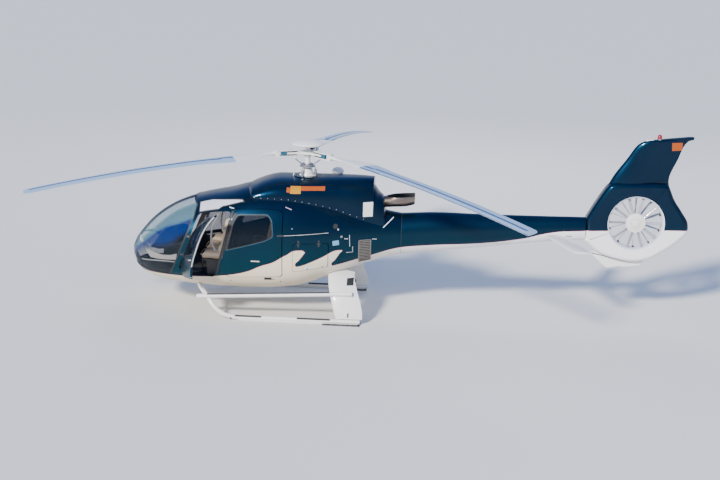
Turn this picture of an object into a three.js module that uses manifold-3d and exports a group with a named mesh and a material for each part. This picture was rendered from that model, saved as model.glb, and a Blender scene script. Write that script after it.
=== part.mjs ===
// Light helicopter with a bubble cabin, skids, a three-blade rotor and a shrouded tail fan.
// Millimetres. +X is the nose, +Y the left side, +Z up.
// Heights are worked out above the ground and x from the rotor axis.
// At the end everything is lowered, so that the origin is the belly hard point under the rotor.
import * as THREE from 'three';
import { mergeVertices } from 'three/addons/utils/BufferGeometryUtils.js';
import Module from 'manifold-3d';

const wasm = await Module();
wasm.setup();

// Driving dimensions
const rotorRadius = 5345;
const bladeChord = 350;
const bladeDroop = 550;
const bladeRootSlope = 0.048;
const bladeRootPitch = 2.5;
const bladeTwist = 3;
const bladeAzimuths = [19.9, 139.9, 259.9];
const hubHeight = 3075;
const skidHalfTrack = 1130;
const skidRadius = 42;
const panelThickness = 40;
const glassThickness = 9;
const seat = 0.4;            // gap between pieces that touch
const doorGap = 7;           // gap round a door that moves
const floorHeight = 740;
const bulkheadX = 200;
const boomRootX = -1860;
const boomEndX = -5400;
const ductCentre = [-6350, 1950];
const ductRadius = 505;
const shroudHalfWidth = 165;
const bellyHeight = 492;     // belly hard point above the ground
const openDoorAngle = 62;    // left front door, as it stands

// Hull sections: x, top, bottom, waist height, half width, upper and lower roundness
const hullSections = [
  [3420, 1045, 995, 1020, 22, 2.0, 2.0],
  [3400, 1130, 920, 1020, 140, 2.0, 2.0],
  [3330, 1280, 760, 1020, 330, 2.05, 2.1],
  [3200, 1460, 630, 1040, 500, 2.1, 2.2],
  [3000, 1680, 540, 1080, 660, 2.15, 2.35],
  [2700, 1910, 485, 1150, 800, 2.25, 2.6],
  [2300, 2105, 455, 1220, 915, 2.4, 2.8],
  [1980, 2196, 445, 1260, 965, 2.5, 2.9],
  [1500, 2298, 435, 1300, 1005, 2.6, 3.0],
  [1060, 2418, 435, 1330, 1015, 2.6, 3.0],
  [500, 2425, 455, 1350, 1005, 2.6, 3.0],
  [0, 2360, 530, 1380, 950, 2.5, 2.9],
  [-500, 2240, 700, 1430, 820, 2.4, 2.7],
  [-950, 2130, 870, 1470, 660, 2.3, 2.5],
  [-1350, 2040, 1000, 1500, 490, 2.2, 2.4],
  [-1630, 1980, 1090, 1520, 390, 2.1, 2.3],
  [boomRootX, 1945, 1140, 1540, 335, 2.0, 2.2],
];

// Tail boom sections, same columns
const boomSections = [
  [boomRootX - seat, 1945, 1140, 1540, 335, 2.0, 2.2],
  [-2450, 1985, 1215, 1600, 300, 2.0, 2.1],
  [-3400, 1985, 1330, 1660, 250, 2.0, 2.0],
  [-4500, 1995, 1480, 1740, 200, 2.0, 2.0],
  [boomEndX + seat, 2010, 1560, 1790, 165, 2.0, 2.0],
];

// Engine cowling: x, top, seam height, share of the skin's half width, roundness
const cowlingSections = [
  [1130, 2422, 2375, 0.5, 2.2],
  [1000, 2470, 2280, 1, 2.3],
  [850, 2532, 2265, 1, 2.5],
  [620, 2597, 2260, 1, 2.7],
  [300, 2614, 2245, 1, 2.8],
  [-180, 2630, 2170, 1, 2.9],
  [-620, 2644, 2060, 1, 2.9],
  [-1100, 2648, 1890, 1, 2.9],
  [-1310, 2643, 1825, 1, 2.8],
  [-1325, 2470, 1815, 1, 2.6],
  [-1412, 2355, 1790, 1, 2.5],
  [-1500, 2270, 1770, 1, 2.4],
  [-1545, 2060, 1765, 0.92, 2.2],
];
const cowlingLip = 9;

// Side outlines of the panels, x and z, on the left side
const windshieldOutline = [[3700, 800], [3300, 790], [3000, 745], [2560, 735], [2420, 1040],
  [2280, 1400], [2150, 1710], [2080, 1910], [2050, 2090], [2180, 2165], [2180, 2600], [3700, 2600]];
const frontDoorOutline = [[2378, 905], [2130, 765], [1665, 765], [1575, 1140], [1525, 1320],
  [1445, 1640], [1385, 1910], [1360, 2050], [1720, 2010], [1985, 1965], [2060, 1780], [2140, 1520],
  [2280, 1130]];
const frontWindowOutline = [[2225, 1150], [1615, 1230], [1575, 1340], [1495, 1640], [1435, 1910],
  [1420, 1985], [1710, 1955], [1945, 1915], [2000, 1780], [2080, 1540]];
const rearDoorOutline = [[1577, 900], [1380, 777], [355, 830], [360, 2095], [600, 2130],
  [1290, 2100], [1330, 1910], [1390, 1640], [1470, 1320], [1520, 1140]];
const rearWindowOutline = [[1425, 1335], [720, 1535], [545, 1625], [578, 1925], [660, 2024],
  [1222, 1998], [1302, 1850], [1345, 1640]];
const baggageDoorOutline = [[170, 930], [-500, 1010], [-510, 1500], [170, 1500]];
// Skylight outline in plan, x and y
const skylightOutline = [[2010, 468], [1751, 470], [1160, 655], [1130, 705], [1533, 708], [1613, 745],
  [1982, 715]];

const ringPoints = 24;
const cornerSteps = 2;       // straight steps in a rounded corner

const finishes = {
  bluePaint: [0x0a2446, 0.25, 0.6],
  whitePaint: [0xe9e6df, 0.4, 0.0],
  glass: [0x22303a, 0.08, 0.0],
  bladeGrey: [0x9fb4c4, 0.5, 0.0],
  metal: [0x8d8f92, 0.35, 0.9],
  exhaustMetal: [0x5f5148, 0.45, 0.9],
  blackPlastic: [0x16181b, 0.6, 0.0],
  beigeLeather: [0xc9ac86, 0.7, 0.0],
  rubber: [0x101112, 0.8, 0.0],
};

const group = new THREE.Group();

// Shape helpers
function closed(geometry) {
  const bare = geometry.clone();
  bare.deleteAttribute('normal');
  bare.deleteAttribute('uv');
  const merged = mergeVertices(bare, 1e-3);
  const index = merged.index.array;
  const kept = [];
  for (let i = 0; i < index.length; i += 3) {
    const [a, b, c] = [index[i], index[i + 1], index[i + 2]];
    if (a !== b && b !== c && c !== a) kept.push(a, b, c);
  }
  merged.setIndex(kept);
  return merged;
}

function solidOf(geometry) {
  const mesh = closed(geometry);
  return new wasm.Manifold(new wasm.Mesh({
    numProp: 3,
    vertProperties: new Float32Array(mesh.attributes.position.array),
    triVerts: new Uint32Array(mesh.index.array),
  }));
}

function geometryOf(solid) {
  const mesh = solid.getMesh();
  const geometry = new THREE.BufferGeometry();
  geometry.setAttribute('position', new THREE.BufferAttribute(new Float32Array(mesh.vertProperties), 3));
  geometry.setIndex(new THREE.BufferAttribute(new Uint32Array(mesh.triVerts), 1));
  return geometry;
}

function join(first, ...others) {
  return geometryOf(others.reduce((sum, other) => sum.add(solidOf(other)), solidOf(first)));
}

function cut(first, ...others) {
  return geometryOf(others.reduce((rest, other) => rest.subtract(solidOf(other)), solidOf(first)));
}

function common(first, ...others) {
  return geometryOf(others.reduce((rest, other) => rest.intersect(solidOf(other)), solidOf(first)));
}

function addPiece(name, geometry, finish) {
  const [color, roughness, metalness] = finishes[finish];
  const shown = closed(geometry);
  shown.computeVertexNormals();
  const mesh = new THREE.Mesh(shown, new THREE.MeshStandardMaterial({ color, roughness, metalness }));
  mesh.name = name;
  group.add(mesh);
}

// Move a shape by a matrix and keep its faces pointing out when the matrix mirrors it
function moved(geometry, matrix) {
  const copy = closed(geometry).applyMatrix4(matrix);
  if (matrix.determinant() < 0) {
    const index = copy.index.array.slice();
    for (let i = 0; i < index.length; i += 3) [index[i], index[i + 1]] = [index[i + 1], index[i]];
    copy.setIndex(new THREE.BufferAttribute(index, 1));
  }
  return copy;
}

function mirrored(geometry) {
  return moved(geometry, new THREE.Matrix4().makeScale(1, -1, 1));
}

// A closed skin over rings that have the same number of points
function loft(rings) {
  const count = rings[0].length;
  const positions = rings.flat(2);
  const index = [];
  for (let r = 0; r < rings.length - 1; r++) {
    for (let k = 0; k < count; k++) {
      const [a, b] = [r * count + k, r * count + (k + 1) % count];
      index.push(a, b, b + count, a, b + count, a + count);
    }
  }
  for (const [r, flip] of [[0, true], [rings.length - 1, false]]) {
    const centre = positions.length / 3;
    for (const axis of [0, 1, 2]) {
      positions.push(rings[r].reduce((sum, point) => sum + point[axis], 0) / count);
    }
    for (let k = 0; k < count; k++) {
      const [a, b] = [r * count + k, r * count + (k + 1) % count];
      index.push(centre, ...(flip ? [b, a] : [a, b]));
    }
  }
  const geometry = new THREE.BufferGeometry();
  geometry.setAttribute('position', new THREE.Float32BufferAttribute(positions, 3));
  geometry.setIndex(volumeOf(positions, index) > 0 ? index : index.reverse());
  return geometry;
}

function volumeOf(positions, index) {
  const at = (i) => new THREE.Vector3().fromArray(positions, 3 * i);
  let sum = 0;
  for (let i = 0; i < index.length; i += 3) {
    sum += at(index[i]).dot(at(index[i + 1]).cross(at(index[i + 2])));
  }
  return sum;
}

function box(x0, x1, y0, y1, z0, z1) {
  const geometry = new THREE.BoxGeometry(x1 - x0, y1 - y0, z1 - z0);
  return geometry.translate((x0 + x1) / 2, (y0 + y1) / 2, (z0 + z1) / 2);
}

function roundedShape(points, radius) {
  const shape = new THREE.Shape();
  const at = (i) => new THREE.Vector2(...points[(i + points.length) % points.length]);
  points.forEach((point, i) => {
    const corner = at(i);
    const back = at(i - 1).sub(corner);
    const ahead = at(i + 1).sub(corner);
    const start = corner.clone().add(back.clone().setLength(Math.min(radius, back.length() * 0.45)));
    const end = corner.clone().add(ahead.clone().setLength(Math.min(radius, ahead.length() * 0.45)));
    if (i === 0) shape.moveTo(start.x, start.y);
    else shape.lineTo(start.x, start.y);
    shape.quadraticCurveTo(corner.x, corner.y, end.x, end.y);
  });
  shape.closePath();
  return shape;
}

// A side outline (x, z) drawn out along y, and a plan outline (x, y) drawn out along z
function extruded(points, depth, radius) {
  const sharp = () => new THREE.Shape(points.map((p) => new THREE.Vector2(...p)));
  const shape = radius ? roundedShape(points, radius) : sharp();
  return new THREE.ExtrudeGeometry(shape, { depth, bevelEnabled: false, curveSegments: cornerSteps });
}

function sidePrism(points, y0, y1, radius = 0) {
  return extruded(points, y1 - y0, radius).rotateX(Math.PI / 2).translate(0, y1, 0);
}

function planPrism(points, z0, z1, radius = 0) {
  return extruded(points, z1 - z0, radius).translate(0, 0, z0);
}

// The same outline with every edge moved inwards
function inset(points, distance) {
  const area = points.reduce((sum, [x, z], i) => {
    const [nextX, nextZ] = points[(i + 1) % points.length];
    return sum + x * nextZ - nextX * z;
  }, 0);
  const side = Math.sign(area);
  const edges = points.map((point, i) => {
    const from = new THREE.Vector2(...point);
    const along = new THREE.Vector2(...points[(i + 1) % points.length]).sub(from).normalize();
    const normal = new THREE.Vector2(-along.y, along.x).multiplyScalar(side * distance);
    return { from: from.add(normal), along };
  });
  return edges.map((edge, i) => {
    const before = edges[(i + edges.length - 1) % edges.length];
    const turn = before.along.cross(edge.along);
    const reach = edge.from.clone().sub(before.from).cross(edge.along) / turn;
    const corner = before.from.clone().addScaledVector(before.along, reach);
    return [corner.x, corner.y];
  });
}

function rod(from, to, radius, sides = 10, endRadius = radius) {
  const [a, b] = [new THREE.Vector3(...from), new THREE.Vector3(...to)];
  const along = b.clone().sub(a);
  const geometry = new THREE.CylinderGeometry(endRadius, radius, along.length(), sides);
  const upright = new THREE.Vector3(0, 1, 0);
  const turn = new THREE.Quaternion().setFromUnitVectors(upright, along.clone().normalize());
  const middle = a.add(b).multiplyScalar(0.5);
  return geometry.applyQuaternion(turn).translate(middle.x, middle.y, middle.z);
}

function tube(points, radius, steps, sides = 10) {
  const knots = points.map((p) => new THREE.Vector3(...p));
  const curve = new THREE.CatmullRomCurve3(knots, false, 'centripetal');
  const section = new THREE.Shape(Array.from({ length: sides }, (_, k) => {
    const angle = 2 * Math.PI * k / sides;
    return new THREE.Vector2(radius * Math.cos(angle), radius * Math.sin(angle));
  }));
  return new THREE.ExtrudeGeometry(section, { steps, extrudePath: curve, bevelEnabled: false });
}

// A profile of radius and height turned about the z axis, or about an axis along y
function turned(profile, segments = 20) {
  const geometry = new THREE.LatheGeometry(profile.map((p) => new THREE.Vector2(...p)), segments);
  return geometry.rotateX(Math.PI / 2);
}

function turnedAlongY(profile, centre, segments = 36) {
  const geometry = new THREE.LatheGeometry(profile.map((p) => new THREE.Vector2(...p)), segments);
  return geometry.translate(centre[0], 0, centre[1]);
}

function turnAboutZ(geometry, degrees) {
  return closed(geometry).rotateZ(THREE.MathUtils.degToRad(degrees));
}

// Superellipse sections
function sectionAt(table, x) {
  const i = table.findIndex((row, k) => k > 0 && x >= row[0]);
  if (i < 0) return table[table.length - 1];
  const [a, b] = [table[i - 1], table[i]];
  const share = (x - a[0]) / (b[0] - a[0]);
  return a.map((value, k) => value + (b[k] - value) * share);
}

function halfWidthAt(table, x, z) {
  const [, top, bottom, waist, halfWidth, upper, lower] = sectionAt(table, x);
  const above = z >= waist;
  const rise = above ? (z - waist) / (top - waist) : (waist - z) / (waist - bottom);
  const power = above ? upper : lower;
  return halfWidth * (1 - Math.min(1, rise) ** power) ** (1 / power);
}

function sectionRing([x, top, bottom, waist, halfWidth, upper, lower], grow) {
  return Array.from({ length: ringPoints }, (_, k) => {
    const angle = 2 * Math.PI * k / ringPoints;
    const [c, s] = [Math.cos(angle), Math.sin(angle)];
    const power = 2 / (s >= 0 ? upper : lower);
    const across = Math.sign(c) * Math.abs(c) ** power * (halfWidth + grow);
    const rise = Math.abs(s) ** power * (s >= 0 ? top + grow - waist : bottom - grow - waist);
    return [x, across, waist + rise];
  });
}

// The hull's outer surface, moved out or in; towards the nose it moves along x as well
function hull(grow = 0) {
  const noseFrom = 2300;
  const noseTo = 3400;
  const rows = hullSections.filter((row) => row[4] + grow > 12);
  return loft(rows.map((row) => {
    const share = THREE.MathUtils.clamp((row[0] - noseFrom) / (noseTo - noseFrom), 0, 1);
    const rear = row[0] === boomRootX ? -Math.max(grow, 0) : 0;
    return sectionRing([row[0] + grow * share + rear, ...row.slice(1)], grow);
  }));
}

function boom(grow = 0, overrun = 0) {
  return loft(boomSections.map((row, k) => {
    const shift = k === 0 ? overrun : k === boomSections.length - 1 ? -overrun : 0;
    return sectionRing([row[0] + shift, ...row.slice(1)], grow);
  }));
}

// Aerofoil loft: each station has a nose point, a tail point, a thickness and the thickness direction
const foilShares = [0, 0.03, 0.12, 0.3, 0.6, 1];
const plateShares = [0, 0.12, 1];
function foilHalf(u) {
  return 5 * (0.2969 * Math.sqrt(u) - 0.126 * u - 0.3516 * u ** 2 + 0.2843 * u ** 3 - 0.1015 * u ** 4);
}

function foil(stations, shares = foilShares) {
  return loft(stations.map(({ nose, tail, thickness, across }) => {
    const point = (u, side) => nose.map((value, k) => {
      const blunt = u === 1 ? 0.06 : foilHalf(u);
      return value + (tail[k] - value) * u + side * blunt * thickness * across[k];
    });
    const upper = shares.map((u) => point(u, 1));
    const lower = shares.slice(1).reverse().map((u) => point(u, -1));
    return [...upper, ...lower];
  }));
}

// Hinge knuckles: the axis runs through origin along axis, into points from it into the door
const knuckleRadius = 11;
const knuckleNotch = 17;
const knuckleLength = 36;
const knuckleSides = 8;
const frameKnuckle = 22;
function hinge(door, frame, { origin, axis, into, out, stations, doorReach, frameReach }) {
  const along = new THREE.Vector3(...axis).normalize();
  const inwards = new THREE.Vector3(...into).normalize();
  const outwards = new THREE.Vector3(...out).normalize();
  const at = (s) => new THREE.Vector3(...origin).addScaledVector(along, s);
  const knuckle = (s, length, radius) => {
    const [from, to] = [at(s - length / 2), at(s + length / 2)];
    return rod(from.toArray(), to.toArray(), radius, knuckleSides);
  };
  const basis = new THREE.Matrix4().makeBasis(along, inwards, outwards);
  // Strap from the knuckle into the panel: two plates, each from and to along the reach and the depth
  const strap = (s, length, side) => {
    const reach = side > 0 ? doorReach : frameReach;
    return [[0, 26, -11, -2], [15, reach, -36, -2]].map(([from, to, deep, shallow]) => {
      const [low, high] = side > 0 ? [from, to] : [-to, -from];
      const plate = box(s - length / 2, s + length / 2, low, high, deep, shallow);
      return moved(plate, basis).translate(...origin);
    });
  };
  let [moving, fixed] = [door, frame];
  const outer = (knuckleLength + frameKnuckle) / 2 + 0.5;
  for (const s of stations) {
    const notch = knuckle(s, knuckleLength + 2 * frameKnuckle + 12, knuckleNotch);
    const doorParts = [knuckle(s, knuckleLength, knuckleRadius), ...strap(s, knuckleLength - 2, 1)];
    moving = join(cut(moving, notch), ...doorParts);
    fixed = cut(fixed, notch);
    for (const side of [-1, 1]) {
      const middle = s + side * outer;
      const pin = knuckle(middle, frameKnuckle, knuckleRadius);
      fixed = join(fixed, pin, ...strap(middle, frameKnuckle - 2, -1));
    }
  }
  return [moving, fixed];
}

// Cabin shell, doors, windows and skylights
const hullBody = hull();
const skinLayer = cut(hullBody, hull(-panelThickness));
const glassLayer = cut(hull(-2), hull(-2 - glassThickness));
const sideInner = 250;
const sideOuter = 1400;

function sidePanel(outline, gap, layer, radius) {
  return common(layer, sidePrism(inset(outline, gap), sideInner, sideOuter, radius));
}

// A door's rear edge swings aft as it opens, so it stands further from its frame
const sweepRoom = 7;
function sweptOutline(outline) {
  const aft = Math.min(...outline.map(([x]) => x)) + 20;
  return outline.map(([x, z]) => [x < aft ? x + sweepRoom : x, z]);
}

const postHalfWidth = 32;
const windshieldOpening = sidePrism(windshieldOutline, postHalfWidth, sideOuter);
const windshieldLeft = common(
  glassLayer,
  sidePrism(inset(windshieldOutline, 0.5), postHalfWidth + 0.5, sideOuter),
);
const skylightOpening = planPrism(skylightOutline, 1900, 2500, 30);
const skylightLeft = common(glassLayer, planPrism(inset(skylightOutline, 0.5), 1900, 2500, 30));

const doorCornerRadius = 70;
const frontDoorOpening = sidePrism(frontDoorOutline, sideInner, sideOuter, doorCornerRadius);
const rearDoorOpening = sidePrism(rearDoorOutline, sideInner, sideOuter, doorCornerRadius);
const frontWindowHole = sidePrism(frontWindowOutline, sideInner, sideOuter, 45);
const rearWindowHole = sidePrism(rearWindowOutline, sideInner, sideOuter, 55);

let frontDoor = cut(
  sidePanel(frontDoorOutline, doorGap, skinLayer, doorCornerRadius),
  frontWindowHole,
);
const frontWindow = sidePanel(frontWindowOutline, 0.5, glassLayer, 45);
let rearDoor = cut(
  sidePanel(sweptOutline(rearDoorOutline), doorGap, skinLayer, doorCornerRadius),
  rearWindowHole,
);
const rearWindow = sidePanel(rearWindowOutline, 0.5, glassLayer, 55);

const cabinSpace = box(bulkheadX + panelThickness, 3500, -1200, 1200, floorHeight, 2600);
const cavity = common(hull(-panelThickness), cabinSpace);
const openings = [windshieldOpening, skylightOpening, frontDoorOpening, rearDoorOpening];
// Flat plate on the floor between the front and the rear seats
const aislePlate = box(1122, 1282, -560, 560, floorHeight - 5, floorHeight + 3);
let cabinShell = join(
  cut(
    common(hullBody, box(bulkheadX, 3500, -1300, 1300, 0, 3000)),
    cavity,
    ...openings,
    ...openings.map(mirrored),
  ),
  aislePlate,
);

// Front doors hinge on the windshield posts, the rear right door on the post behind them
const frontHinge = {
  origin: [2402, 925, 800],
  axis: [-0.359, 0, 1],
  into: [-1, 0, -0.359],
  out: [0, 1, 0],
  stations: [410, 790],
  doorReach: 42,
  frameReach: 62,
};
const rearHinge = {
  origin: [1604, 1013, 800],
  axis: [-0.26, 0, 1],
  into: [-1, 0, -0.26],
  out: [0, 1, 0],
  stations: [330, 800],
  doorReach: 32,
  frameReach: 42,
};
const slidingDoorPanel = rearDoor;
let hingedShell = cabinShell;
[frontDoor, hingedShell] = hinge(frontDoor, hingedShell, frontHinge);
hingedShell = mirrored(hingedShell);
hingedShell = hinge(frontDoor, hingedShell, frontHinge)[1];
[rearDoor, hingedShell] = hinge(rearDoor, hingedShell, rearHinge);
cabinShell = mirrored(hingedShell);

function turnAboutAxis(geometry, origin, axis, degrees) {
  const direction = new THREE.Vector3(...axis).normalize();
  const turn = new THREE.Matrix4().makeRotationAxis(direction, THREE.MathUtils.degToRad(degrees));
  return closed(geometry).translate(...origin.map((v) => -v)).applyMatrix4(turn).translate(...origin);
}
function opened(geometry) {
  return turnAboutAxis(geometry, frontHinge.origin, frontHinge.axis, -openDoorAngle);
}

// Sliding door: the arm on its rear edge reaches the rail, which follows the skin
const railStart = 330;
const railEnd = -500;
const railLine = (x) => 1650 + (420 - x) * 0.055;
const railHalf = 16;
const railStrip = (x0, x1) => [
  [x0, railLine(x0) - railHalf],
  [x1, railLine(x1) - railHalf],
  [x1, railLine(x1) + railHalf],
  [x0, railLine(x0) + railHalf],
];
const armFootX = 366;
const armStrip = (x0, x1) => sidePrism(railStrip(x0, x1), sideInner, sideOuter);
const slideArm = join(
  common(cut(hull(12), hull(seat)), armStrip(railStart + seat, 460)),
  common(cut(hull(12), hull(-8)), armStrip(armFootX, 460)),
);
const slidingDoor = join(slidingDoorPanel, slideArm);
const slideRail = common(cut(hull(14), hull(seat)), armStrip(railEnd, railStart));

addPiece('cabin_shell', cabinShell, 'bluePaint');
addPiece('windshield_left', windshieldLeft, 'glass');
addPiece('windshield_right', mirrored(windshieldLeft), 'glass');
addPiece('skylight_left', skylightLeft, 'glass');
addPiece('skylight_right', mirrored(skylightLeft), 'glass');
addPiece('front_door_left', opened(frontDoor), 'bluePaint');
addPiece('front_window_left', opened(frontWindow), 'glass');
addPiece('front_door_right', mirrored(frontDoor), 'bluePaint');
addPiece('front_window_right', mirrored(frontWindow), 'glass');
addPiece('sliding_door_left', slidingDoor, 'bluePaint');
addPiece('rear_window_left', rearWindow, 'glass');
addPiece('rear_door_right', mirrored(rearDoor), 'bluePaint');
addPiece('rear_window_right', mirrored(rearWindow), 'glass');
addPiece('slide_rail', slideRail, 'metal');

// Rear fuselage with a baggage bay on each side and slatted air grilles
const bayDepth = 360;
const baggageOpening = sidePrism(baggageDoorOutline, sideInner, sideOuter, 50);
let baggageDoor = sidePanel(sweptOutline(baggageDoorOutline), doorGap, skinLayer, 50);
const bay = box(-470, 140, 600 - bayDepth / 2, 1200, 1040, 1460);
const grilleSlots = Array.from({ length: 7 }, (_, k) => {
  const z = 1090 + k * 62;
  return common(
    cut(hull(20), hull(-28)),
    box(-1290, -1070, 200, 900, z, z + 38),
  );
});
const baggageRecess = common(cut(hull(30), hull(-panelThickness - 6)), baggageOpening);
// Flat hard point on the belly, under the rotor axis
const hardPoint = box(-90, 90, -70, 70, bellyHeight, 640);
let rearFuselage = cut(
  join(common(hullBody, box(boomRootX - 1, bulkheadX - seat, -1300, 1300, 0, 3000)), hardPoint),
  baggageRecess,
  bay,
  ...grilleSlots,
);
const baggageHinge = {
  origin: [0, 953, 1500],
  axis: [1, 0.254, 0],
  into: [0, 0, -1],
  out: [-0.254, 1, 0],
  stations: [60, -330],
  doorReach: 62,
  frameReach: 62,
};
[baggageDoor, rearFuselage] = hinge(baggageDoor, rearFuselage, baggageHinge);
rearFuselage = mirrored(rearFuselage);
rearFuselage = cut(rearFuselage, baggageRecess, bay, ...grilleSlots);
rearFuselage = hinge(baggageDoor, rearFuselage, baggageHinge)[1];
rearFuselage = mirrored(rearFuselage);

// Engine cowling with a bay for the engine, open below
const cowlingRings = cowlingSections.map(([x, top, seam, share, roundness]) => {
  const halfWidth = share * (halfWidthAt(hullSections, x, seam) + cowlingLip);
  return sectionRing([x, top, seam - 45, seam, halfWidth, roundness, 2.2], 0);
});
const deckRadius = 262;
const deckHeight = 2606;
const engineBay = box(-1240, -440, -270, 270, 1900, 2560);
const cowling = cut(
  loft(cowlingRings),
  hull(seat),
  turned([[0, deckHeight], [deckRadius, deckHeight], [deckRadius, 2720], [0, 2720]]),
  engineBay,
);
const engine = cut(
  box(-1220, -460, -240, 240, 1900, 2540),
  hull(seat),
);
addPiece('rear_fuselage', rearFuselage, 'bluePaint');
addPiece('baggage_door_left', baggageDoor, 'bluePaint');
addPiece('baggage_door_right', mirrored(baggageDoor), 'bluePaint');
addPiece('engine_cowling', cowling, 'bluePaint');
addPiece('engine_block', engine, 'metal');

// Exhaust nozzle: x, centre height, half height, half width; its long mouth faces up and aft
const nozzleSections = [
  [-1430, 2160, 105, 110],
  [-1510, 2161, 108, 126],
  [-1600, 2185, 126, 160],
  [-1700, 2224, 155, 190],
  [-1800, 2250, 176, 200],
  [-1950, 2270, 180, 196],
  [-2100, 2296, 165, 178],
];
const nozzleSides = 18;
const nozzleRing = (x, height, halfHeight, halfWidth) => Array.from({ length: nozzleSides }, (_, k) => {
  const angle = 2 * Math.PI * k / nozzleSides;
  return [x, halfWidth * Math.cos(angle), height + halfHeight * Math.sin(angle)];
});
const nozzleWall = 7;
const nozzleBore = nozzleSections.map(([x, height, halfHeight, halfWidth], k) => {
  const shift = k === nozzleSections.length - 1 ? -20 : 0;
  return nozzleRing(x + shift, height, halfHeight - nozzleWall, halfWidth - nozzleWall);
});
// Its front end, against the cowling, stays closed
const nozzleFront = box(-1560, -1400, -250, 250, 2000, 2460);
const mouthCut = sidePrism([[-1400, 2260], [-2160, 2322], [-2160, 2600], [-1400, 2600]], -300, 300);
const nozzle = cut(
  loft(nozzleSections.map((row) => nozzleRing(...row))),
  cut(loft(nozzleBore), nozzleFront),
  mouthCut,
  loft(cowlingRings.map((ring) => ring.map(([x, y, z]) => [x - seat, y, z]))),
  hull(seat),
);
addPiece('exhaust_nozzle', nozzle, 'exhaustMetal');

// Tail boom: a tube, open where it joins the fuselage
const boomWall = 25;
const boomHollow = loft(boomSections.map((row, k) => {
  const shift = k === 0 ? 60 : k === boomSections.length - 1 ? 60 : 0;
  return sectionRing([row[0] + shift, ...row.slice(1)], -boomWall);
}));
addPiece('tail_boom', cut(boom(), boomHollow), 'bluePaint');

// Shroud round the fan, and the fin above it
const shroudOutline = [[-5400, 2012], [-5400, 1562], [-5690, 1335], [-6060, 1215], [-6380, 1185],
  [-6650, 1245], [-6900, 1395], [-7150, 1585], [-7350, 1815], [-7345, 1995], [-7200, 2215],
  [-7040, 2430], [-6950, 2640], [-5760, 2640], [-5560, 2330]];
const shroudBevel = 95;
function shroudBody(grow = 0) {
  const shape = roundedShape(inset(shroudOutline, shroudBevel), 60);
  const geometry = new THREE.ExtrudeGeometry(shape, {
    depth: 2 * (shroudHalfWidth - shroudBevel),
    bevelThickness: shroudBevel + grow,
    bevelSize: shroudBevel + grow,
    bevelSegments: 3,
    curveSegments: cornerSteps,
  });
  return geometry.rotateX(Math.PI / 2).translate(0, shroudHalfWidth - shroudBevel, 0);
}
// Fin stations: nose x and z, tail x and z, thickness
const finStations = [
  [-5420, 2120, -7120, 2120, 240],
  [-5610, 2440, -7030, 2440, 215],
  [-5850, 2810, -6915, 2800, 185],
  [-6090, 3170, -7050, 3200, 160],
  [-6320, 3490, -7205, 3550, 140],
  [-6400, 3530, -7290, 3615, 125],
  [-6450, 3548, -7310, 3640, 70],
];
const fin = foil(finStations.map(([noseX, noseZ, tailX, tailZ, thickness]) => ({
  nose: [noseX, 0, noseZ], tail: [tailX, 0, tailZ], thickness, across: [0, 1, 0],
})));
const lip = 58;
// Duct: radius and y, from the axis out round one lip to the throat; the other side is its mirror
const ductSide = [[0, 300], [ductRadius + lip, 300], [ductRadius + lip, shroudHalfWidth + 6],
  [ductRadius + 0.5 * lip, shroudHalfWidth - 18], [ductRadius + 8, shroudHalfWidth - 48],
  [ductRadius, 90]];
const ductProfile = [...ductSide.map(([r, y]) => [r, -y]), ...ductSide.slice().reverse()];
const shroud = cut(
  join(shroudBody(), fin),
  turnedAlongY(ductProfile, ductCentre),
  boom(seat, 2 * seat),
);
addPiece('fin_and_shroud', shroud, 'bluePaint');
const ventralOutline = [[-5500, 1330], [-5870, 1000], [-6120, 1060], [-6190, 1040], [-6520, 1085],
  [-6640, 1320]];
addPiece('ventral_fin', cut(sidePrism(ventralOutline, -32, 32), shroudBody(seat)), 'whitePaint');

// Tail fan: ten blades at uneven angles in front of ten vanes that carry the gearbox
const fanAngles = [0, 34, 72, 104, 142, 180, 214, 252, 284, 322];
const fanHubRadius = 190;
const fanTip = 496;
function fanBlade(angle, from, to, chord, pitch, thickness, y) {
  const turn = THREE.MathUtils.degToRad(angle);
  const tilt = THREE.MathUtils.degToRad(pitch);
  const radial = [Math.cos(turn), 0, Math.sin(turn)];
  const sideways = [-Math.sin(turn), 0, Math.cos(turn)];
  const chordDirection = sideways.map((v, k) => v * Math.cos(tilt) + (k === 1 ? Math.sin(tilt) : 0));
  const across = sideways.map((v, k) => -v * Math.sin(tilt) + (k === 1 ? Math.cos(tilt) : 0));
  const centre = [ductCentre[0], y, ductCentre[1]];
  return foil([from, to].map((r) => ({
    nose: centre.map((v, k) => v + radial[k] * r - chordDirection[k] * chord / 2),
    tail: centre.map((v, k) => v + radial[k] * r + chordDirection[k] * chord / 2),
    thickness,
    across,
  })), plateShares);
}
const fanPlane = 62;
const fanHub = turnedAlongY([[0, 18], [fanHubRadius - 12, 18], [fanHubRadius, 26], [fanHubRadius, 96],
  [fanHubRadius - 20, 106], [60, 114], [0, 116]], ductCentre, 24);
const fan = join(fanHub, ...fanAngles.map((a) => fanBlade(a, 150, fanTip, 62, 32, 9, fanPlane)));
addPiece('tail_fan', fan, 'whitePaint');

const podProfile = [[0, -200], [70, -190], [110, -160], [120, -110], [120, -30], [70, -12], [45, -12],
  [45, 18 - seat], [0, 18 - seat]];
const pod = turnedAlongY(podProfile, ductCentre, 18);
const vaneThickness = (k) => (k === 4 ? 42 : 11);   // the fifth vane holds the drive shaft
const vanes = Array.from({ length: 10 }, (_, k) => (
  fanBlade(18 + 36 * k, 95, 520, 96, 80, vaneThickness(k), -76)
));
const coreRadius = ductRadius - seat;
const ductCore = turnedAlongY([[0, -140], [coreRadius, -140], [coreRadius, -10], [0, -10]], ductCentre);
addPiece('fan_stator', join(pod, common(join(vanes[0], pod, ...vanes.slice(1)), ductCore)), 'whitePaint');

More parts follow.
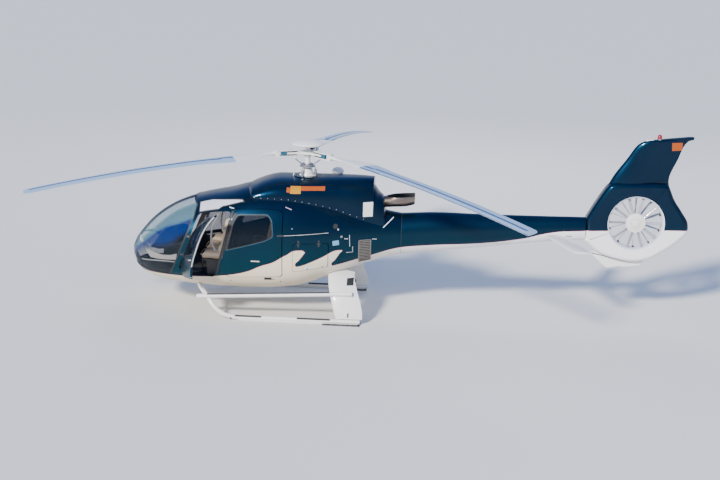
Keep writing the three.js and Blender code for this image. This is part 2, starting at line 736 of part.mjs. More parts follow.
// Stabilizer halves: nose and tail x at root and tip
const stabilizer = {
  height: 1660,
  root: 120,
  tip: 1365,
  rootNose: -4590,
  rootTail: -5010,
  tipNose: -5060,
  tipTail: -5425,
  rootThickness: 56,
  tipThickness: 44,
  edgeThickness: 20,
};
// Stations: y, nose x, tail x, thickness
const stabilizerStations = [
  [stabilizer.root, stabilizer.rootNose, stabilizer.rootTail, stabilizer.rootThickness],
  [stabilizer.tip - 25, stabilizer.tipNose, stabilizer.tipTail, stabilizer.tipThickness],
  [stabilizer.tip, stabilizer.tipNose - 30, stabilizer.tipTail, stabilizer.edgeThickness],
];
const stabilizerHalf = cut(foil(stabilizerStations.map(([y, nose, tail, thickness]) => ({
  nose: [nose, y, stabilizer.height],
  tail: [tail, y, stabilizer.height],
  thickness,
  across: [0, 0, 1],
}))), boom(seat, 40));
addPiece('stabilizer_left', stabilizerHalf, 'whitePaint');
addPiece('stabilizer_right', mirrored(stabilizerHalf), 'whitePaint');

// Mast housing with the fixed swashplate on three servos
const mastRadius = 55;
const mastFoot = deckHeight + 13;
const servoFoot = deckHeight + 20;
const housingRadius = deckRadius - seat;
const housingProfile = [[0, deckHeight + seat], [housingRadius, deckHeight + seat],
  [housingRadius, deckHeight + 27], [140, deckHeight + 29], [84, 2770], [mastRadius + 2, 2770],
  [mastRadius + 2, mastFoot], [0, mastFoot]];
const swashHeight = 2800;
const swashTop = swashHeight + 24;
const swashRing = turned([[74, swashHeight], [150, swashHeight], [150, swashTop], [74, swashTop],
  [74, swashHeight]]);
const servos = [60, 180, 300].map((angle) => {
  const turn = THREE.MathUtils.degToRad(angle);
  const at = (r, z) => [r * Math.cos(turn), r * Math.sin(turn), z];
  return join(rod(at(165, servoFoot), at(160, 2745), 24), rod(at(160, 2740), at(140, swashHeight + 10), 12));
});
addPiece('mast_housing', join(turned(housingProfile), swashRing, ...servos), 'metal');

// Rotor mast with the turning swashplate and the pitch links
const turningHeight = swashTop + seat;
const turningRing = turned([[0, turningHeight], [132, turningHeight], [132, turningHeight + 22],
  [90, turningHeight + 40], [0, turningHeight + 40]]);
const hornRadius = 265;
const hornSide = 118;
const hornHeight = hubHeight - 62;
const radialPoint = (azimuth, r, side, z) => {
  const turn = THREE.MathUtils.degToRad(azimuth);
  return [r * Math.cos(turn) - side * Math.sin(turn), r * Math.sin(turn) + side * Math.cos(turn), z];
};
const linkTop = hornHeight - 14 - seat;
const links = bladeAzimuths.flatMap((azimuth) => {
  const onHorn = (drop) => radialPoint(azimuth, hornRadius, hornSide, linkTop - drop);
  return [
    rod(radialPoint(azimuth, 85, 75, turningHeight + 12), onHorn(24), 10, 8),
    rod(onHorn(36), onHorn(0), 9, 8),
  ];
});
const mastTop = hubHeight - 26;
const mast = turned([[0, mastFoot + seat], [mastRadius, mastFoot + seat], [mastRadius, mastTop - 40],
  [110, mastTop - 20], [110, mastTop - seat], [0, mastTop - seat]]);
addPiece('rotor_mast', join(mast, turningRing, ...links), 'metal');

// Star-shaped hub: three arms, each ending in a damper frame between the plates of a sleeve
const plateGap = 44;         // half the height between the plates of a sleeve
const plateThickness = 18;
const armPlan = [[60, -92], [300, -62], [425, -58], [425, 58], [300, 62], [60, 92]];
const damper = box(405, 520, -52, 52, hubHeight - plateGap + seat, hubHeight + plateGap - seat);
const arm = join(planPrism(armPlan, hubHeight - 20, hubHeight + 20, 20), damper);
const hubCore = turned([[0, mastTop], [150, mastTop], [150, hubHeight + 26], [0, hubHeight + 26]]);
addPiece('rotor_hub', join(hubCore, ...bladeAzimuths.map((a) => turnAboutZ(arm, a))), 'whitePaint');

// Sleeve: two plates over and under the arm, closed at the blade's root, with a pitch horn
const rootStart = 560;
const rootEnd = 655;
const sleevePlan = [[215, -46], [330, -62], [560, -66], [rootEnd, -52], [rootEnd, 52], [560, 66], [330, 62],
  [215, 46]];
const upperPlate = planPrism(sleevePlan, hubHeight + plateGap, hubHeight + plateGap + plateThickness, 16);
const lowerPlate = planPrism(sleevePlan, hubHeight - plateGap - plateThickness, hubHeight - plateGap, 16);
const rootBlock = box(rootStart, rootEnd, -50, 50, hubHeight - plateGap - 1, hubHeight + plateGap + 1);
const horn = planPrism([[235, 30], [295, 30], [285, 135], [245, 135]], hornHeight - 14, hornHeight + 2, 10);
const sleeve = join(upperPlate, lowerPlate, rootBlock, horn);

// Blades: radius, chord, thickness; they turn clockwise seen from above and droop at rest
const bladeStations = [
  [rootEnd + seat, 118, 66],
  [760, 122, 58],
  [900, 230, 48],
  [1020, bladeChord, 42],
  [2200, bladeChord, 42],
  [3300, bladeChord, 42],
  [4300, bladeChord, 40],
  [5150, bladeChord, 38],
  [5290, 335, 34],
  [rotorRadius, 250, 18],
];
const bladeSpan = rotorRadius - rootEnd;
const bladeLift = (r) => {
  const share = (r - rootEnd) / bladeSpan;
  return -bladeRootSlope * bladeSpan * share - (bladeDroop - bladeRootSlope * bladeSpan) * share ** 2;
};
const pitchAt = (r) => THREE.MathUtils.degToRad(bladeRootPitch - bladeTwist * (r - rootEnd) / bladeSpan);
const blade = foil(bladeStations.map(([r, chord, thickness]) => {
  const pitch = r < 900 ? pitchAt(r) * 0.5 : pitchAt(r);
  const height = hubHeight + bladeLift(r);
  const place = (share) => [r, share * chord * Math.cos(pitch), height - share * chord * Math.sin(pitch)];
  const ahead = chord < 200 ? -0.5 : -0.25 - 0.25 * Math.max(0, (bladeChord - chord) / bladeChord);
  const across = [0, Math.sin(pitch), Math.cos(pitch)];
  return { nose: place(ahead), tail: place(ahead + 1), thickness, across };
}));
['a', 'b', 'c'].forEach((letter, k) => {
  addPiece(`blade_sleeve_${letter}`, turnAboutZ(sleeve, bladeAzimuths[k]), 'whitePaint');
  addPiece(`rotor_blade_${letter}`, turnAboutZ(blade, bladeAzimuths[k]), 'bladeGrey');
});
const capBase = hubHeight + 26 + seat;
const capProfile = [[0, capBase], [70, capBase], [44, hubHeight + 60], [44, 3205], [235, 3216], [308, 3236],
  [300, 3262], [220, 3296], [110, 3316], [0, 3322]];
addPiece('rotor_head_cap', turned(capProfile, 20), 'whitePaint');

// Skids: tube with its front end bent up to the belly, a flat shoe under it
const legPath = [[2035, 470, 470], [2000, 620, 497], [1925, 780, 470], [1800, 960, 395],
  [1660, 1080, 250], [1500, 1122, 125], [1320, skidHalfTrack, 62], [1150, skidHalfTrack, 50]];
const skidHeight = 50;
const shoeHalf = 28;
const legSteps = 12;
const padThickness = 7;
const skidTube = join(
  tube(legPath, skidRadius, legSteps),
  rod([1160, skidHalfTrack, skidHeight], [-1150, skidHalfTrack, skidHeight], skidRadius),
  box(-1110, 1180, skidHalfTrack - shoeHalf, skidHalfTrack + shoeHalf, 0, 22),
);
const skid = cut(skidTube, hull(seat), box(-1200, 2100, 300, 1400, -60, 0));
addPiece('skid_left', skid, 'whitePaint');
addPiece('skid_right', mirrored(skid), 'whitePaint');

// Rear leg fairings, joined under the belly by the cross tube: y, z, nose x, tail x, thickness
const fairingStations = [
  [430, 830, -480, -1000, 120],
  [680, 775, -500, -1010, 112],
  [900, 600, -540, -1075, 100],
  [1040, 400, -600, -1150, 92],
  [1105, 230, -650, -1190, 88],
  [1128, 105, -690, -1195, 88],
];
function fairing(grow = 0) {
  return foil(fairingStations.map(([y, z, nose, tail, thickness], k) => {
    const before = fairingStations[Math.max(0, k - 1)];
    const after = fairingStations[Math.min(fairingStations.length - 1, k + 1)];
    const along = new THREE.Vector2(after[0] - before[0], after[1] - before[1]).normalize();
    const rise = k === fairingStations.length - 1 ? -grow : 0;
    return {
      nose: [nose + 2 * grow, y, z + rise],
      tail: [tail - 2 * grow, y, z + rise],
      thickness: thickness + 2.2 * grow,
      across: [0, -along.y, along.x],
    };
  }));
}
const skidBore = rod([1160, skidHalfTrack, skidHeight], [-1300, skidHalfTrack, skidHeight], skidRadius + seat);
const crossTube = join(
  tube([[-760, -640, 760], [-760, -380, 712], [-760, 0, 700], [-760, 380, 712], [-760, 640, 760]], 34, 16),
  box(-800, -720, -330, -250, 700, 900),
  box(-800, -720, 250, 330, 700, 900),
);
const rearLegs = cut(
  join(crossTube, fairing(), mirrored(fairing())),
  hull(seat),
  skidBore,
  mirrored(skidBore),
);
addPiece('rear_legs', rearLegs, 'whitePaint');

// Boarding steps between the front leg and the rear fairing
const stepSection = 44;
const stepFrom = [1990, 1012, 398];
const stepTo = [-985, 1012, 572];
const stepBar = rod(stepFrom, stepTo, stepSection);
const legClear = tube(legPath, skidRadius + seat, legSteps);
const step = cut(stepBar, legClear, fairing(seat), skidBore);
addPiece('step_left', step, 'whitePaint');
addPiece('step_right', mirrored(step), 'whitePaint');

// Ground pads round the rear shoes
const padHalf = 120;
const padSlot = shoeHalf + seat;
const pad = cut(
  box(-1160, -440, skidHalfTrack - padHalf, skidHalfTrack + padHalf, 0, padThickness),
  box(-1110 - seat, 1180, skidHalfTrack - padSlot, skidHalfTrack + padSlot, -10, 60),
);
addPiece('ground_pad_left', pad, 'rubber');
addPiece('ground_pad_right', mirrored(pad), 'rubber');

// Seats: side profile of the shell and of the cushion, x from the backrest's foot, z above the floor
const shellProfile = [[0, 0], [380, 0], [400, 300], [490, 318], [500, 343], [75, 320], [-110, 1170],
  [-148, 1170], [20, 300]];
const cushionProfile = [[75.6, 320.5], [495, 343.2], [520, 392], [500, 432], [300, 424],
  [160, 412], [94, 717], [34, 992], [8, 1120], [-45, 1160], [-103, 1140]];
function seatShell(x, y, halfWidth) {
  const points = shellProfile.map(([dx, dz]) => [x + dx, floorHeight + seat + dz]);
  return sidePrism(points, y - halfWidth, y + halfWidth, 12);
}
function seatCushion(x, y, halfWidth) {
  const points = cushionProfile.map(([dx, dz]) => [x + dx, floorHeight + seat + dz]);
  return sidePrism(points, y - halfWidth, y + halfWidth, 18);
}
const frontSeatX = 1440;
const rearSeatX = 585;
const frontSeats = [['left', 560], ['centre', 0], ['right', -560]];
const rearSeats = [-600, -200, 200, 600];
const frontHalf = 225;
const rearHalf = 190;
const seatRail = (x, y0, y1) => box(x + 60, x + 320, y0, y1, floorHeight + seat, floorHeight + 30);
addPiece('front_seat_shells', join(
  seatRail(frontSeatX, -760, 760),
  ...frontSeats.map(([, y]) => seatShell(frontSeatX, y, frontHalf)),
), 'blackPlastic');
for (const [side, y] of frontSeats) {
  addPiece(`front_cushion_${side}`, seatCushion(frontSeatX, y, frontHalf - 8), 'beigeLeather');
}
addPiece('rear_seat_shells', join(
  seatRail(rearSeatX, -780, 780),
  ...rearSeats.map((y) => seatShell(rearSeatX, y, rearHalf)),
), 'blackPlastic');
rearSeats.forEach((y, k) => {
  addPiece(`rear_cushion_${k + 1}`, seatCushion(rearSeatX, y, rearHalf - 8), 'beigeLeather');
});

// Instrument panel: hood on a pedestal that stands on the floor
const hoodOutline = [[2430, 1330], [2480, 1180], [2840, 1130], [3010, 1170], [2860, 1330],
  [2560, 1440], [2400, 1430]];
const hood = sidePrism(hoodOutline, -420, 420, 30);
const pedestalOutline = [[2250, floorHeight + seat], [2820, floorHeight + seat], [2800, 1180], [2520, 1220],
  [2300, 960]];
const pedestal = sidePrism(pedestalOutline, -130, 130, 15);
addPiece('instrument_panel', join(hood, pedestal), 'blackPlastic');

// Pilot's stick, pitch lever and pedals on a common floor plate
const controls = join(
  box(1970, 2560, 255, 640, floorHeight + seat, floorHeight + 12),
  tube([[2180, 540, floorHeight + 5], [2172, 540, 930], [2092, 540, 1120], [2072, 540, 1320]], 14, 9, 6),
  tube([[2010, 280, floorHeight + 5], [1996, 280, 890], [1870, 280, 1030], [1710, 280, 1130]], 13, 8, 6),
  box(2500, 2530, 440, 515, floorHeight + 5, 920),
  box(2500, 2530, 555, 630, floorHeight + 5, 920),
);
addPiece('pilot_controls', controls, 'blackPlastic');

group.position.z = -bellyHeight;
export default group;
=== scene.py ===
# Light helicopter on skids: smooth skin, tinted glass, seats, rotor head, shrouded fan and livery,
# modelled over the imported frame. Tables are in millimetres, with heights above the ground.
import math

import bpy
from mathutils import Matrix, Vector


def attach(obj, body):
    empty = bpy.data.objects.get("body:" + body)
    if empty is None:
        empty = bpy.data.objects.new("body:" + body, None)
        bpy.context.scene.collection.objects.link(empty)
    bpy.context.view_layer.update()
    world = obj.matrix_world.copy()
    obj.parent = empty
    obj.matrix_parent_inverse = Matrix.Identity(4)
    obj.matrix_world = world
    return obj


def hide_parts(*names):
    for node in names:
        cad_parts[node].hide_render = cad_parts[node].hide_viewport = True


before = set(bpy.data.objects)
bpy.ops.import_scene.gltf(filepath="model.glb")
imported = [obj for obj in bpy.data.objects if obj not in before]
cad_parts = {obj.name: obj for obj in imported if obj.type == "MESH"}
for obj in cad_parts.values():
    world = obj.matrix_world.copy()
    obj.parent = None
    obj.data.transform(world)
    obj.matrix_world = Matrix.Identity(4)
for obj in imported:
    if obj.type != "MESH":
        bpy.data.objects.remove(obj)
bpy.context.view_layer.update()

groundToOrigin = 492      # mm from the ground up to the frame's origin
seatGap = 0.4      # mm between pieces that touch
pastSkin = 1400      # mm from the middle, beyond the widest skin
roofSpan = (1900, 2500, "Z")      # prisms that stand through the roof
trimSkin, sealSkin = (1.4, 0.1), (2.2, -1.8)      # layers, in mm out from the skin
print("frame loaded")

cameraLook = {
    "place": (-2.372, 24.448, 7.630),
    "yaw": 3.08,
    "pitch": 15.43,
    "roll": 1.56,
    "focalPixels": 1296.2,
    "imageWidth": 720,
}


def linked(name, data):
    added = bpy.data.objects.new(name, data)
    bpy.context.collection.objects.link(added)
    return added


def addCamera(look):
    data = bpy.data.cameras.new("photo_camera")
    camera = linked("photo_camera", data)
    yaw, pitch, roll = (math.radians(look[key]) for key in ("yaw", "pitch", "roll"))
    forward = Vector((math.sin(yaw) * math.cos(pitch), -math.cos(yaw) * math.cos(pitch), -math.sin(pitch)))
    right = Vector((-math.cos(yaw), -math.sin(yaw), 0))
    up = right.cross(forward)
    turnedRight = right * math.cos(roll) + up * math.sin(roll)
    turnedUp = up * math.cos(roll) - right * math.sin(roll)
    turn = Matrix((turnedRight, turnedUp, -forward)).transposed().to_4x4()
    camera.matrix_world = Matrix.Translation(look["place"]) @ turn
    data.sensor_fit = "HORIZONTAL"
    data.sensor_width = 36
    data.lens = look["focalPixels"] * 36 / look["imageWidth"]
    data.clip_end = 600
    bpy.context.scene.camera = camera


addCamera(cameraLook)


# Materials. A Value is a socket; used in a sum it adds its Math nodes
class Value:
    def __init__(self, shader, socket):
        self.shader = shader
        self.socket = socket

    def math(self, operation, first, second):
        return self.shader.node("ShaderNodeMath", {"operation": operation}, {0: first, 1: second})

    def __add__(self, other):
        return self.math("ADD", self, other)

    def __sub__(self, other):
        return self.math("SUBTRACT", self, other)

    def __rsub__(self, other):
        return self.math("SUBTRACT", other, self)

    def __mul__(self, other):
        return self.math("MULTIPLY", self, other)

    def __gt__(self, other):
        return self.math("GREATER_THAN", self, other)

    def __lt__(self, other):
        return self.math("LESS_THAN", self, other)

    def most(self, other):
        return self.math("MAXIMUM", self, other)

    __radd__, __rmul__ = __add__, __mul__


class Shader:
    def __init__(self, name, colour=(0.5, 0.5, 0.5), roughness=0.5, constants=None):
        self.material = bpy.data.materials.new(name)
        self.material.use_nodes = True
        self.tree = self.material.node_tree
        self.surface = self.tree.nodes["Principled BSDF"]
        self.surface.inputs["Base Color"].default_value = (*colour, 1)
        self.surface.inputs["Roughness"].default_value = roughness
        for socket, value in (constants or {}).items():
            self.surface.inputs[socket].default_value = value
        self.placeSocket = self.node("ShaderNodeTexCoord", output="Object")
        split = self.tree.nodes.new("ShaderNodeSeparateXYZ")
        self.tree.links.new(self.placeSocket.socket, split.inputs[0])
        self.x, self.y, self.z = (Value(self, split.outputs[axis]) for axis in ("X", "Y", "Z"))

    def node(self, kind, settings=None, inputs=None, output=0):
        made = self.tree.nodes.new(kind)
        for key, value in (settings or {}).items():
            if key == "stops":
                self.setStops(made.color_ramp, value)
            elif key == "points":
                self.setPoints(made.mapping, value)
            else:
                setattr(made, key, value)
        for key, value in (inputs or {}).items():
            if isinstance(value, Value):
                self.tree.links.new(value.socket, made.inputs[key])
            else:
                made.inputs[key].default_value = value
        return Value(self, made.outputs[output])

    def setStops(self, ramp, stops):
        while len(ramp.elements) < len(stops):
            ramp.elements.new(0.5)
        for element, (position, colour) in zip(ramp.elements, stops):
            element.position = position
            element.color = (*colour, 1)

    def setPoints(self, mapping, points):
        curve = mapping.curves[0]
        curve.points[0].location = points[0]
        curve.points[1].location = points[-1]
        for point in points[1:-1]:
            curve.points.new(*point)
        for point in curve.points:
            point.handle_type = "AUTO_CLAMPED"
        mapping.update()

    # A curve through points, given in the units of what goes in and what comes out
    def curve(self, value, points):
        points = sorted(points)
        low, high = points[0][0], points[-1][0]
        least = min(p[1] for p in points)
        most = max(p[1] for p in points)
        unit = [((a - low) / (high - low), (b - least) / (most - least)) for a, b in points]
        share = self.node("ShaderNodeMapRange", {}, {0: value, 1: low, 2: high})
        bent = self.node("ShaderNodeFloatCurve", {"points": unit}, {"Value": share})
        return bent * (most - least) + least

    def noise(self, scale, detail=3.0, stretch=(1, 1, 1)):
        where = self.node("ShaderNodeMapping", {}, {"Vector": self.placeSocket, "Scale": stretch})
        return self.node("ShaderNodeTexNoise", {}, {"Vector": where, "Scale": scale, "Detail": detail})

    def mixColour(self, mask, first, second):
        first = first if isinstance(first, Value) else (*first, 1)
        second = second if isinstance(second, Value) else (*second, 1)
        return self.node("ShaderNodeMix", {"data_type": "RGBA"}, {0: mask, 6: first, 7: second}, output=2)

    def remap(self, value, low, high, toLow=0.0, toHigh=1.0):
        return self.node("ShaderNodeMapRange", {}, {0: value, 1: low, 2: high, 3: toLow, 4: toHigh})

    def feed(self, socket, value):
        self.tree.links.new(value.socket, self.surface.inputs[socket])
        return self

    def bump(self, height, strength, distance=0.001):
        inputs = {"Height": height, "Strength": strength, "Distance": distance}
        return self.feed("Normal", self.node("ShaderNodeBump", {}, inputs))


# A finish with uneven colour and roughness: two colours, noise size, roughness range, bump
def wornMaterial(name, first, second, scale, roughness, constants=None, bump=0.0, fine=220.0, stretch=(1, 1, 1)):
    shader = Shader(name, first, roughness[0], constants)
    cloud = shader.noise(scale, 4.0, stretch)
    shader.feed("Base Color", shader.mixColour(cloud, first, second))
    shader.feed("Roughness", shader.remap(cloud, 0.3, 0.7, *roughness))
    if bump:
        shader.bump(shader.noise(fine, 3.0, stretch), bump)
    return shader.material


# Livery, x in mm and heights in mm above the ground, as the paint's edge runs in the photograph
livery = {
    "blue": (0.0, 0.006, 0.028),
    # The teal is a painted reflection of the green ground, blended in low on the body
    "groundReflectionTeal": (0.0, 0.038, 0.052),
    "cream": (0.74, 0.64, 0.47),
    "white": (0.83, 0.81, 0.82),
    "edge": (0.10, 0.004, 0.03),
    "edgeWidth": 0.013,
    "firstFront": ((-60, 1335), (0, 1368), (40, 1368), (290, 1270), (570, 1110), (720, 1060), (1150, 880),
                   (1620, 790), (2180, 735), (2580, 722), (3500, 690)),
    "firstBack": ((1040, 92), (1075, 117), (1110, 112), (1160, 60), (1210, 20), (1280, -30), (1335, -62), (1375, 10)),
    "secondFront": ((-760, 1350), (-700, 1352), (-340, 1200), (0, 1060), (60, 1045), (112, 1040), (124, 800),
                    (130, 300)),
    "secondBack": ((1020, -610), (1045, -562), (1085, -560), (1140, -612), (1210, -660), (1290, -712), (1350, -758),
                   (1372, -690)),
    "rear": ((-7400, 1856), (-6900, 1845), (-5790, 1792), (-5230, 1764), (-4910, 1742), (-4580, 1680), (-4200, 1572),
             (-3380, 1450), (-2440, 1390), (-1850, 1330), (-1300, 1195), (-1060, 1140), (-740, 1060), (-562, 1016),
             (-552, 800), (-546, 300)),
}


def paleArea(shader, grow):
    def front(points):
        return shader.curve(shader.x, [(x / 1000, (z - groundToOrigin) / 1000) for x, z in points]) + grow

    def back(points):
        return shader.curve(shader.z, [((z - groundToOrigin) / 1000, x / 1000) for z, x in points]) - grow

    first = (shader.z < front(livery["firstFront"])) * (shader.x > back(livery["firstBack"]))
    second = (shader.z < front(livery["secondFront"])) * (shader.x > back(livery["secondBack"]))
    return first.most(second).most(shader.z < front(livery["rear"]))


def bodyPaint(name):
    shader = Shader(name, livery["blue"], 0.3, {"Coat Weight": 0.4, "Coat Roughness": 0.03, "Coat IOR": 1.4,
                                                "Specular IOR Level": 0.1})
    pale = paleArea(shader, 0.0)
    wide = paleArea(shader, livery["edgeWidth"])
    # Low on the body the navy turns teal: a painted reflection of the ground
    depth = shader.remap(shader.z, 0.1, 1.5)
    cloud = shader.noise(1.2, 2.0)
    blue = shader.mixColour((1.0 - depth) * 0.8 + cloud * 0.3, livery["blue"], livery["groundReflectionTeal"])
    flake = shader.remap(shader.noise(900.0, 1.0), 0.45, 0.8)
    flaked = shader.mixColour(flake * 0.2, blue, (0.006, 0.12, 0.20))
    cream = shader.mixColour(shader.remap(shader.x, -3.0, 0.0), livery["white"], livery["cream"])
    soiled = shader.mixColour(shader.remap(shader.noise(2.3, 5.0), 0.5, 0.85) * 0.18, cream, (0.42, 0.34, 0.24))
    edged = shader.mixColour(wide, flaked, livery["edge"])
    shader.feed("Base Color", shader.mixColour(pale, edged, soiled))
    shader.feed("Metallic", (1.0 - wide) * 0.75)
    shader.feed("Roughness", shader.remap(pale, 0, 1, 0.30, 0.38) + cloud * 0.05)
    return shader.material


# The windshield's tint: painted reflections, pale at the top and deep blue across the middle, and painted shade below
def windshieldMaterial(name):
    shader = Shader(name, (0.006, 0.02, 0.03), 0.03, {"Coat Weight": 0.3, "Coat Roughness": 0.02,
                                                      "Specular IOR Level": 0.4, "Alpha": 0.4})
    upper = shader.curve(shader.x, ((2.0, 1.46), (2.37, 1.29), (2.64, 1.19), (3.06, 0.88), (3.42, 0.56)))
    lower = shader.curve(shader.x, ((2.0, 1.18), (2.33, 1.06), (2.53, 0.90), (3.0, 0.75), (3.42, 0.45)))
    middle = shader.remap(upper - shader.z, -0.03, 0.05)
    # The near black below is painted shade
    shadeBelow = shader.remap(lower - shader.z, -0.06, 0.08)
    # The pale and deep blue colours are painted reflections
    blue = shader.mixColour(middle, (0.10, 0.28, 0.34), (0.002, 0.022, 0.12))
    shader.feed("Base Color", shader.mixColour(shadeBelow, blue, (0.003, 0.012, 0.020)))
    shader.feed("Alpha", middle * 0.42 - shadeBelow * 0.36 + 0.22)
    shader.feed("Roughness", shader.remap(shader.noise(1.6, 3.0), 0.2, 0.8, 0.03, 0.07))
    return shader.material


def glassMaterial(name, tint, alpha, roughness=0.03):
    shader = Shader(name, tint, roughness, {"Coat Weight": 0.1, "Coat Roughness": 0.02, "Specular IOR Level": 0.25,
                                           "Alpha": alpha})
    haze = shader.noise(1.6, 3.0)
    shader.feed("Base Color", shader.mixColour(haze, tint, tuple(c * 1.6 for c in tint)))
    shader.feed("Roughness", shader.remap(haze, 0.2, 0.8, roughness, roughness * 2.5))
    return shader.material


# Worn finishes: name, two colours, noise size, roughness range, then other sockets, bump, its noise and stretch
wornFinishes = {
    "white": ("whitePaint", (0.8, 0.79, 0.78), (0.7, 0.68, 0.65), 3.0, (0.3, 0.46),
              {"Coat Weight": 0.4, "Coat Roughness": 0.1}),
    "duct": ("ductWhite", (0.78, 0.79, 0.84), (0.66, 0.68, 0.76), 2.4, (0.35, 0.5), {"Coat Weight": 0.3}),
    "lining": ("cabinLining", (0.035, 0.037, 0.042), (0.022, 0.024, 0.028), 5.0, (0.7, 0.85), None, 0.25, 600.0),
    "carpet": ("floorCarpet", (0.05, 0.05, 0.055), (0.03, 0.03, 0.032), 40.0, (0.9, 1.0), None, 0.8, 900.0),
    "beigeLining": ("beigeLining", (0.86, 0.82, 0.76), (0.74, 0.69, 0.62), 7.0, (0.6, 0.75), None, 0.2, 500.0),
    "paleMark": ("paleMark", (0.72, 0.72, 0.74), (0.6, 0.6, 0.63), 30.0, (0.35, 0.5)),
    "skyMark": ("lightBlueMark", (0.16, 0.36, 0.55), (0.12, 0.29, 0.46), 12.0, (0.3, 0.45)),
    "purple": ("paleVent", (0.5, 0.34, 0.42), (0.38, 0.26, 0.34), 20.0, (0.4, 0.55)),
    "seal": ("sealRubber", (0.012, 0.012, 0.013), (0.022, 0.022, 0.022), 8.0, (0.55, 0.7)),
    "plastic": ("blackPlastic", (0.018, 0.018, 0.02), (0.032, 0.032, 0.034), 12.0, (0.45, 0.62), None, 0.3, 500.0),
    "metal": ("bareMetal", (0.5, 0.51, 0.52), (0.38, 0.39, 0.4), 14.0, (0.25, 0.42), {"Metallic": 1.0}, 0.15, 90.0,
              (1, 1, 6)),
    "darkMetal": ("darkMetal", (0.12, 0.12, 0.125), (0.07, 0.07, 0.075), 16.0, (0.35, 0.5), {"Metallic": 1.0}, 0.15,
                  120.0),
    "grille": ("grilleMetal", (0.32, 0.29, 0.26), (0.22, 0.2, 0.18), 9.0, (0.35, 0.5), {"Metallic": 0.8}, 0.1, 150.0),
    "exhaust": ("heatTintedMetal", (0.36, 0.3, 0.24), (0.13, 0.1, 0.1), 4.0, (0.26, 0.46), {"Metallic": 1.0}, 0.2,
                60.0, (1, 5, 5)),
    # The near black is soot inside the exhaust, and painted shade in the recess behind the grille
    "soot": ("sootBlack", (0.01, 0.009, 0.009), (0.03, 0.026, 0.024), 7.0, (0.7, 0.9)),
    "blade": ("bladePaint", (0.33, 0.45, 0.6), (0.27, 0.38, 0.53), 1.1, (0.3, 0.45),
              {"Coat Weight": 0.3, "Coat Roughness": 0.15}),
    "bladeEdge": ("bladeEdgeMetal", (0.66, 0.7, 0.74), (0.52, 0.56, 0.6), 5.0, (0.22, 0.36), {"Metallic": 0.9}),
    "bladeDark": ("bladeDarkPaint", (0.03, 0.1, 0.26), (0.02, 0.07, 0.2), 2.0, (0.35, 0.5)),
    # The fan's white blades and vanes are greyed here as painted shade inside the duct
    "fanGrey": ("fanGrey", (0.36, 0.37, 0.41), (0.27, 0.28, 0.32), 3.0, (0.32, 0.46), {"Coat Weight": 0.3}),
    "damper": ("damperRubber", (0.02, 0.13, 0.19), (0.015, 0.08, 0.13), 18.0, (0.4, 0.6), None, 0.3),
    "leather": ("beigeLeather", (0.6, 0.47, 0.33), (0.5, 0.38, 0.26), 6.0, (0.45, 0.62), None, 0.5, 420.0),
    "webbing": ("whiteWebbing", (0.74, 0.73, 0.7), (0.62, 0.61, 0.58), 90.0, (0.7, 0.85), None, 0.7, 900.0,
                (1, 4, 1)),
    "grip": ("antiSlipStrip", (0.03, 0.03, 0.032), (0.07, 0.07, 0.07), 160.0, (0.85, 1.0), None, 1.0, 1300.0),
    "redLens": ("redLens", (0.22, 0.004, 0.006), (0.32, 0.008, 0.008), 20.0, (0.08, 0.16), {"Coat Weight": 1.0}),
    "clearLens": ("clearLens", (0.75, 0.77, 0.78), (0.62, 0.64, 0.66), 20.0, (0.05, 0.12), {"Coat Weight": 1.0}),
    "orange": ("orangeStripe", (0.4, 0.075, 0.0), (0.34, 0.06, 0.0), 8.0, (0.3, 0.45)),
    "yellow": ("yellowStripe", (0.52, 0.23, 0.0), (0.46, 0.2, 0.0), 8.0, (0.3, 0.45)),
    "screen": ("screenGlass", (0.012, 0.016, 0.022), (0.02, 0.03, 0.04), 10.0, (0.06, 0.14), {"Coat Weight": 1.0}),
}
finish = {key: wornMaterial(*row) for key, row in wornFinishes.items()}
finish["body"] = bodyPaint("bodyPaint")
finish["glass"] = glassMaterial("tintedGlass", (0.002, 0.006, 0.012), 0.52)
finish["windshield"] = windshieldMaterial("windshieldGlass")
# The skylights' pale, nearly opaque colour is a painted reflection of the bright sky
finish["skylight"] = glassMaterial("skylightSkyReflection", (0.5, 0.5, 0.58), 0.9, 0.06)
print("materials made")

studio = {
    "floorSize": 400,
    "floorColour": (0.66, 0.65, 0.62),
    "skyTop": (0.12, 0.30, 0.82),
    "skyLow": (0.92, 0.94, 0.97),
    "skyStrength": 0.95,
    # key: from, strength, angle in degrees, colour
    "key": ((8.6, 14.2, 11.2), 7.0, 8, (1.0, 0.95, 0.87)),
    # name, place, aim, size, power, colour
    "lamps": (
        ("fill", (-14, 17, 11), (-2, 0, 0.8), 9, 900, (0.9, 0.95, 1.0)),
        ("rim", (-3, -14, 12), (-2, 0, 1.4), 9, 1200, (1.0, 1.0, 1.0)),
    ),
}


def addLamp(name, kind, spot, aim, energy, colour, settings):
    light = bpy.data.lights.new(name, kind)
    light.energy = energy
    light.color = colour
    for key, value in settings.items():
        setattr(light, key, value)
    lamp = linked(name, light)
    lamp.location = spot
    lamp.rotation_euler = (Vector(aim) - Vector(spot)).to_track_quat("-Z", "Y").to_euler()
    return lamp


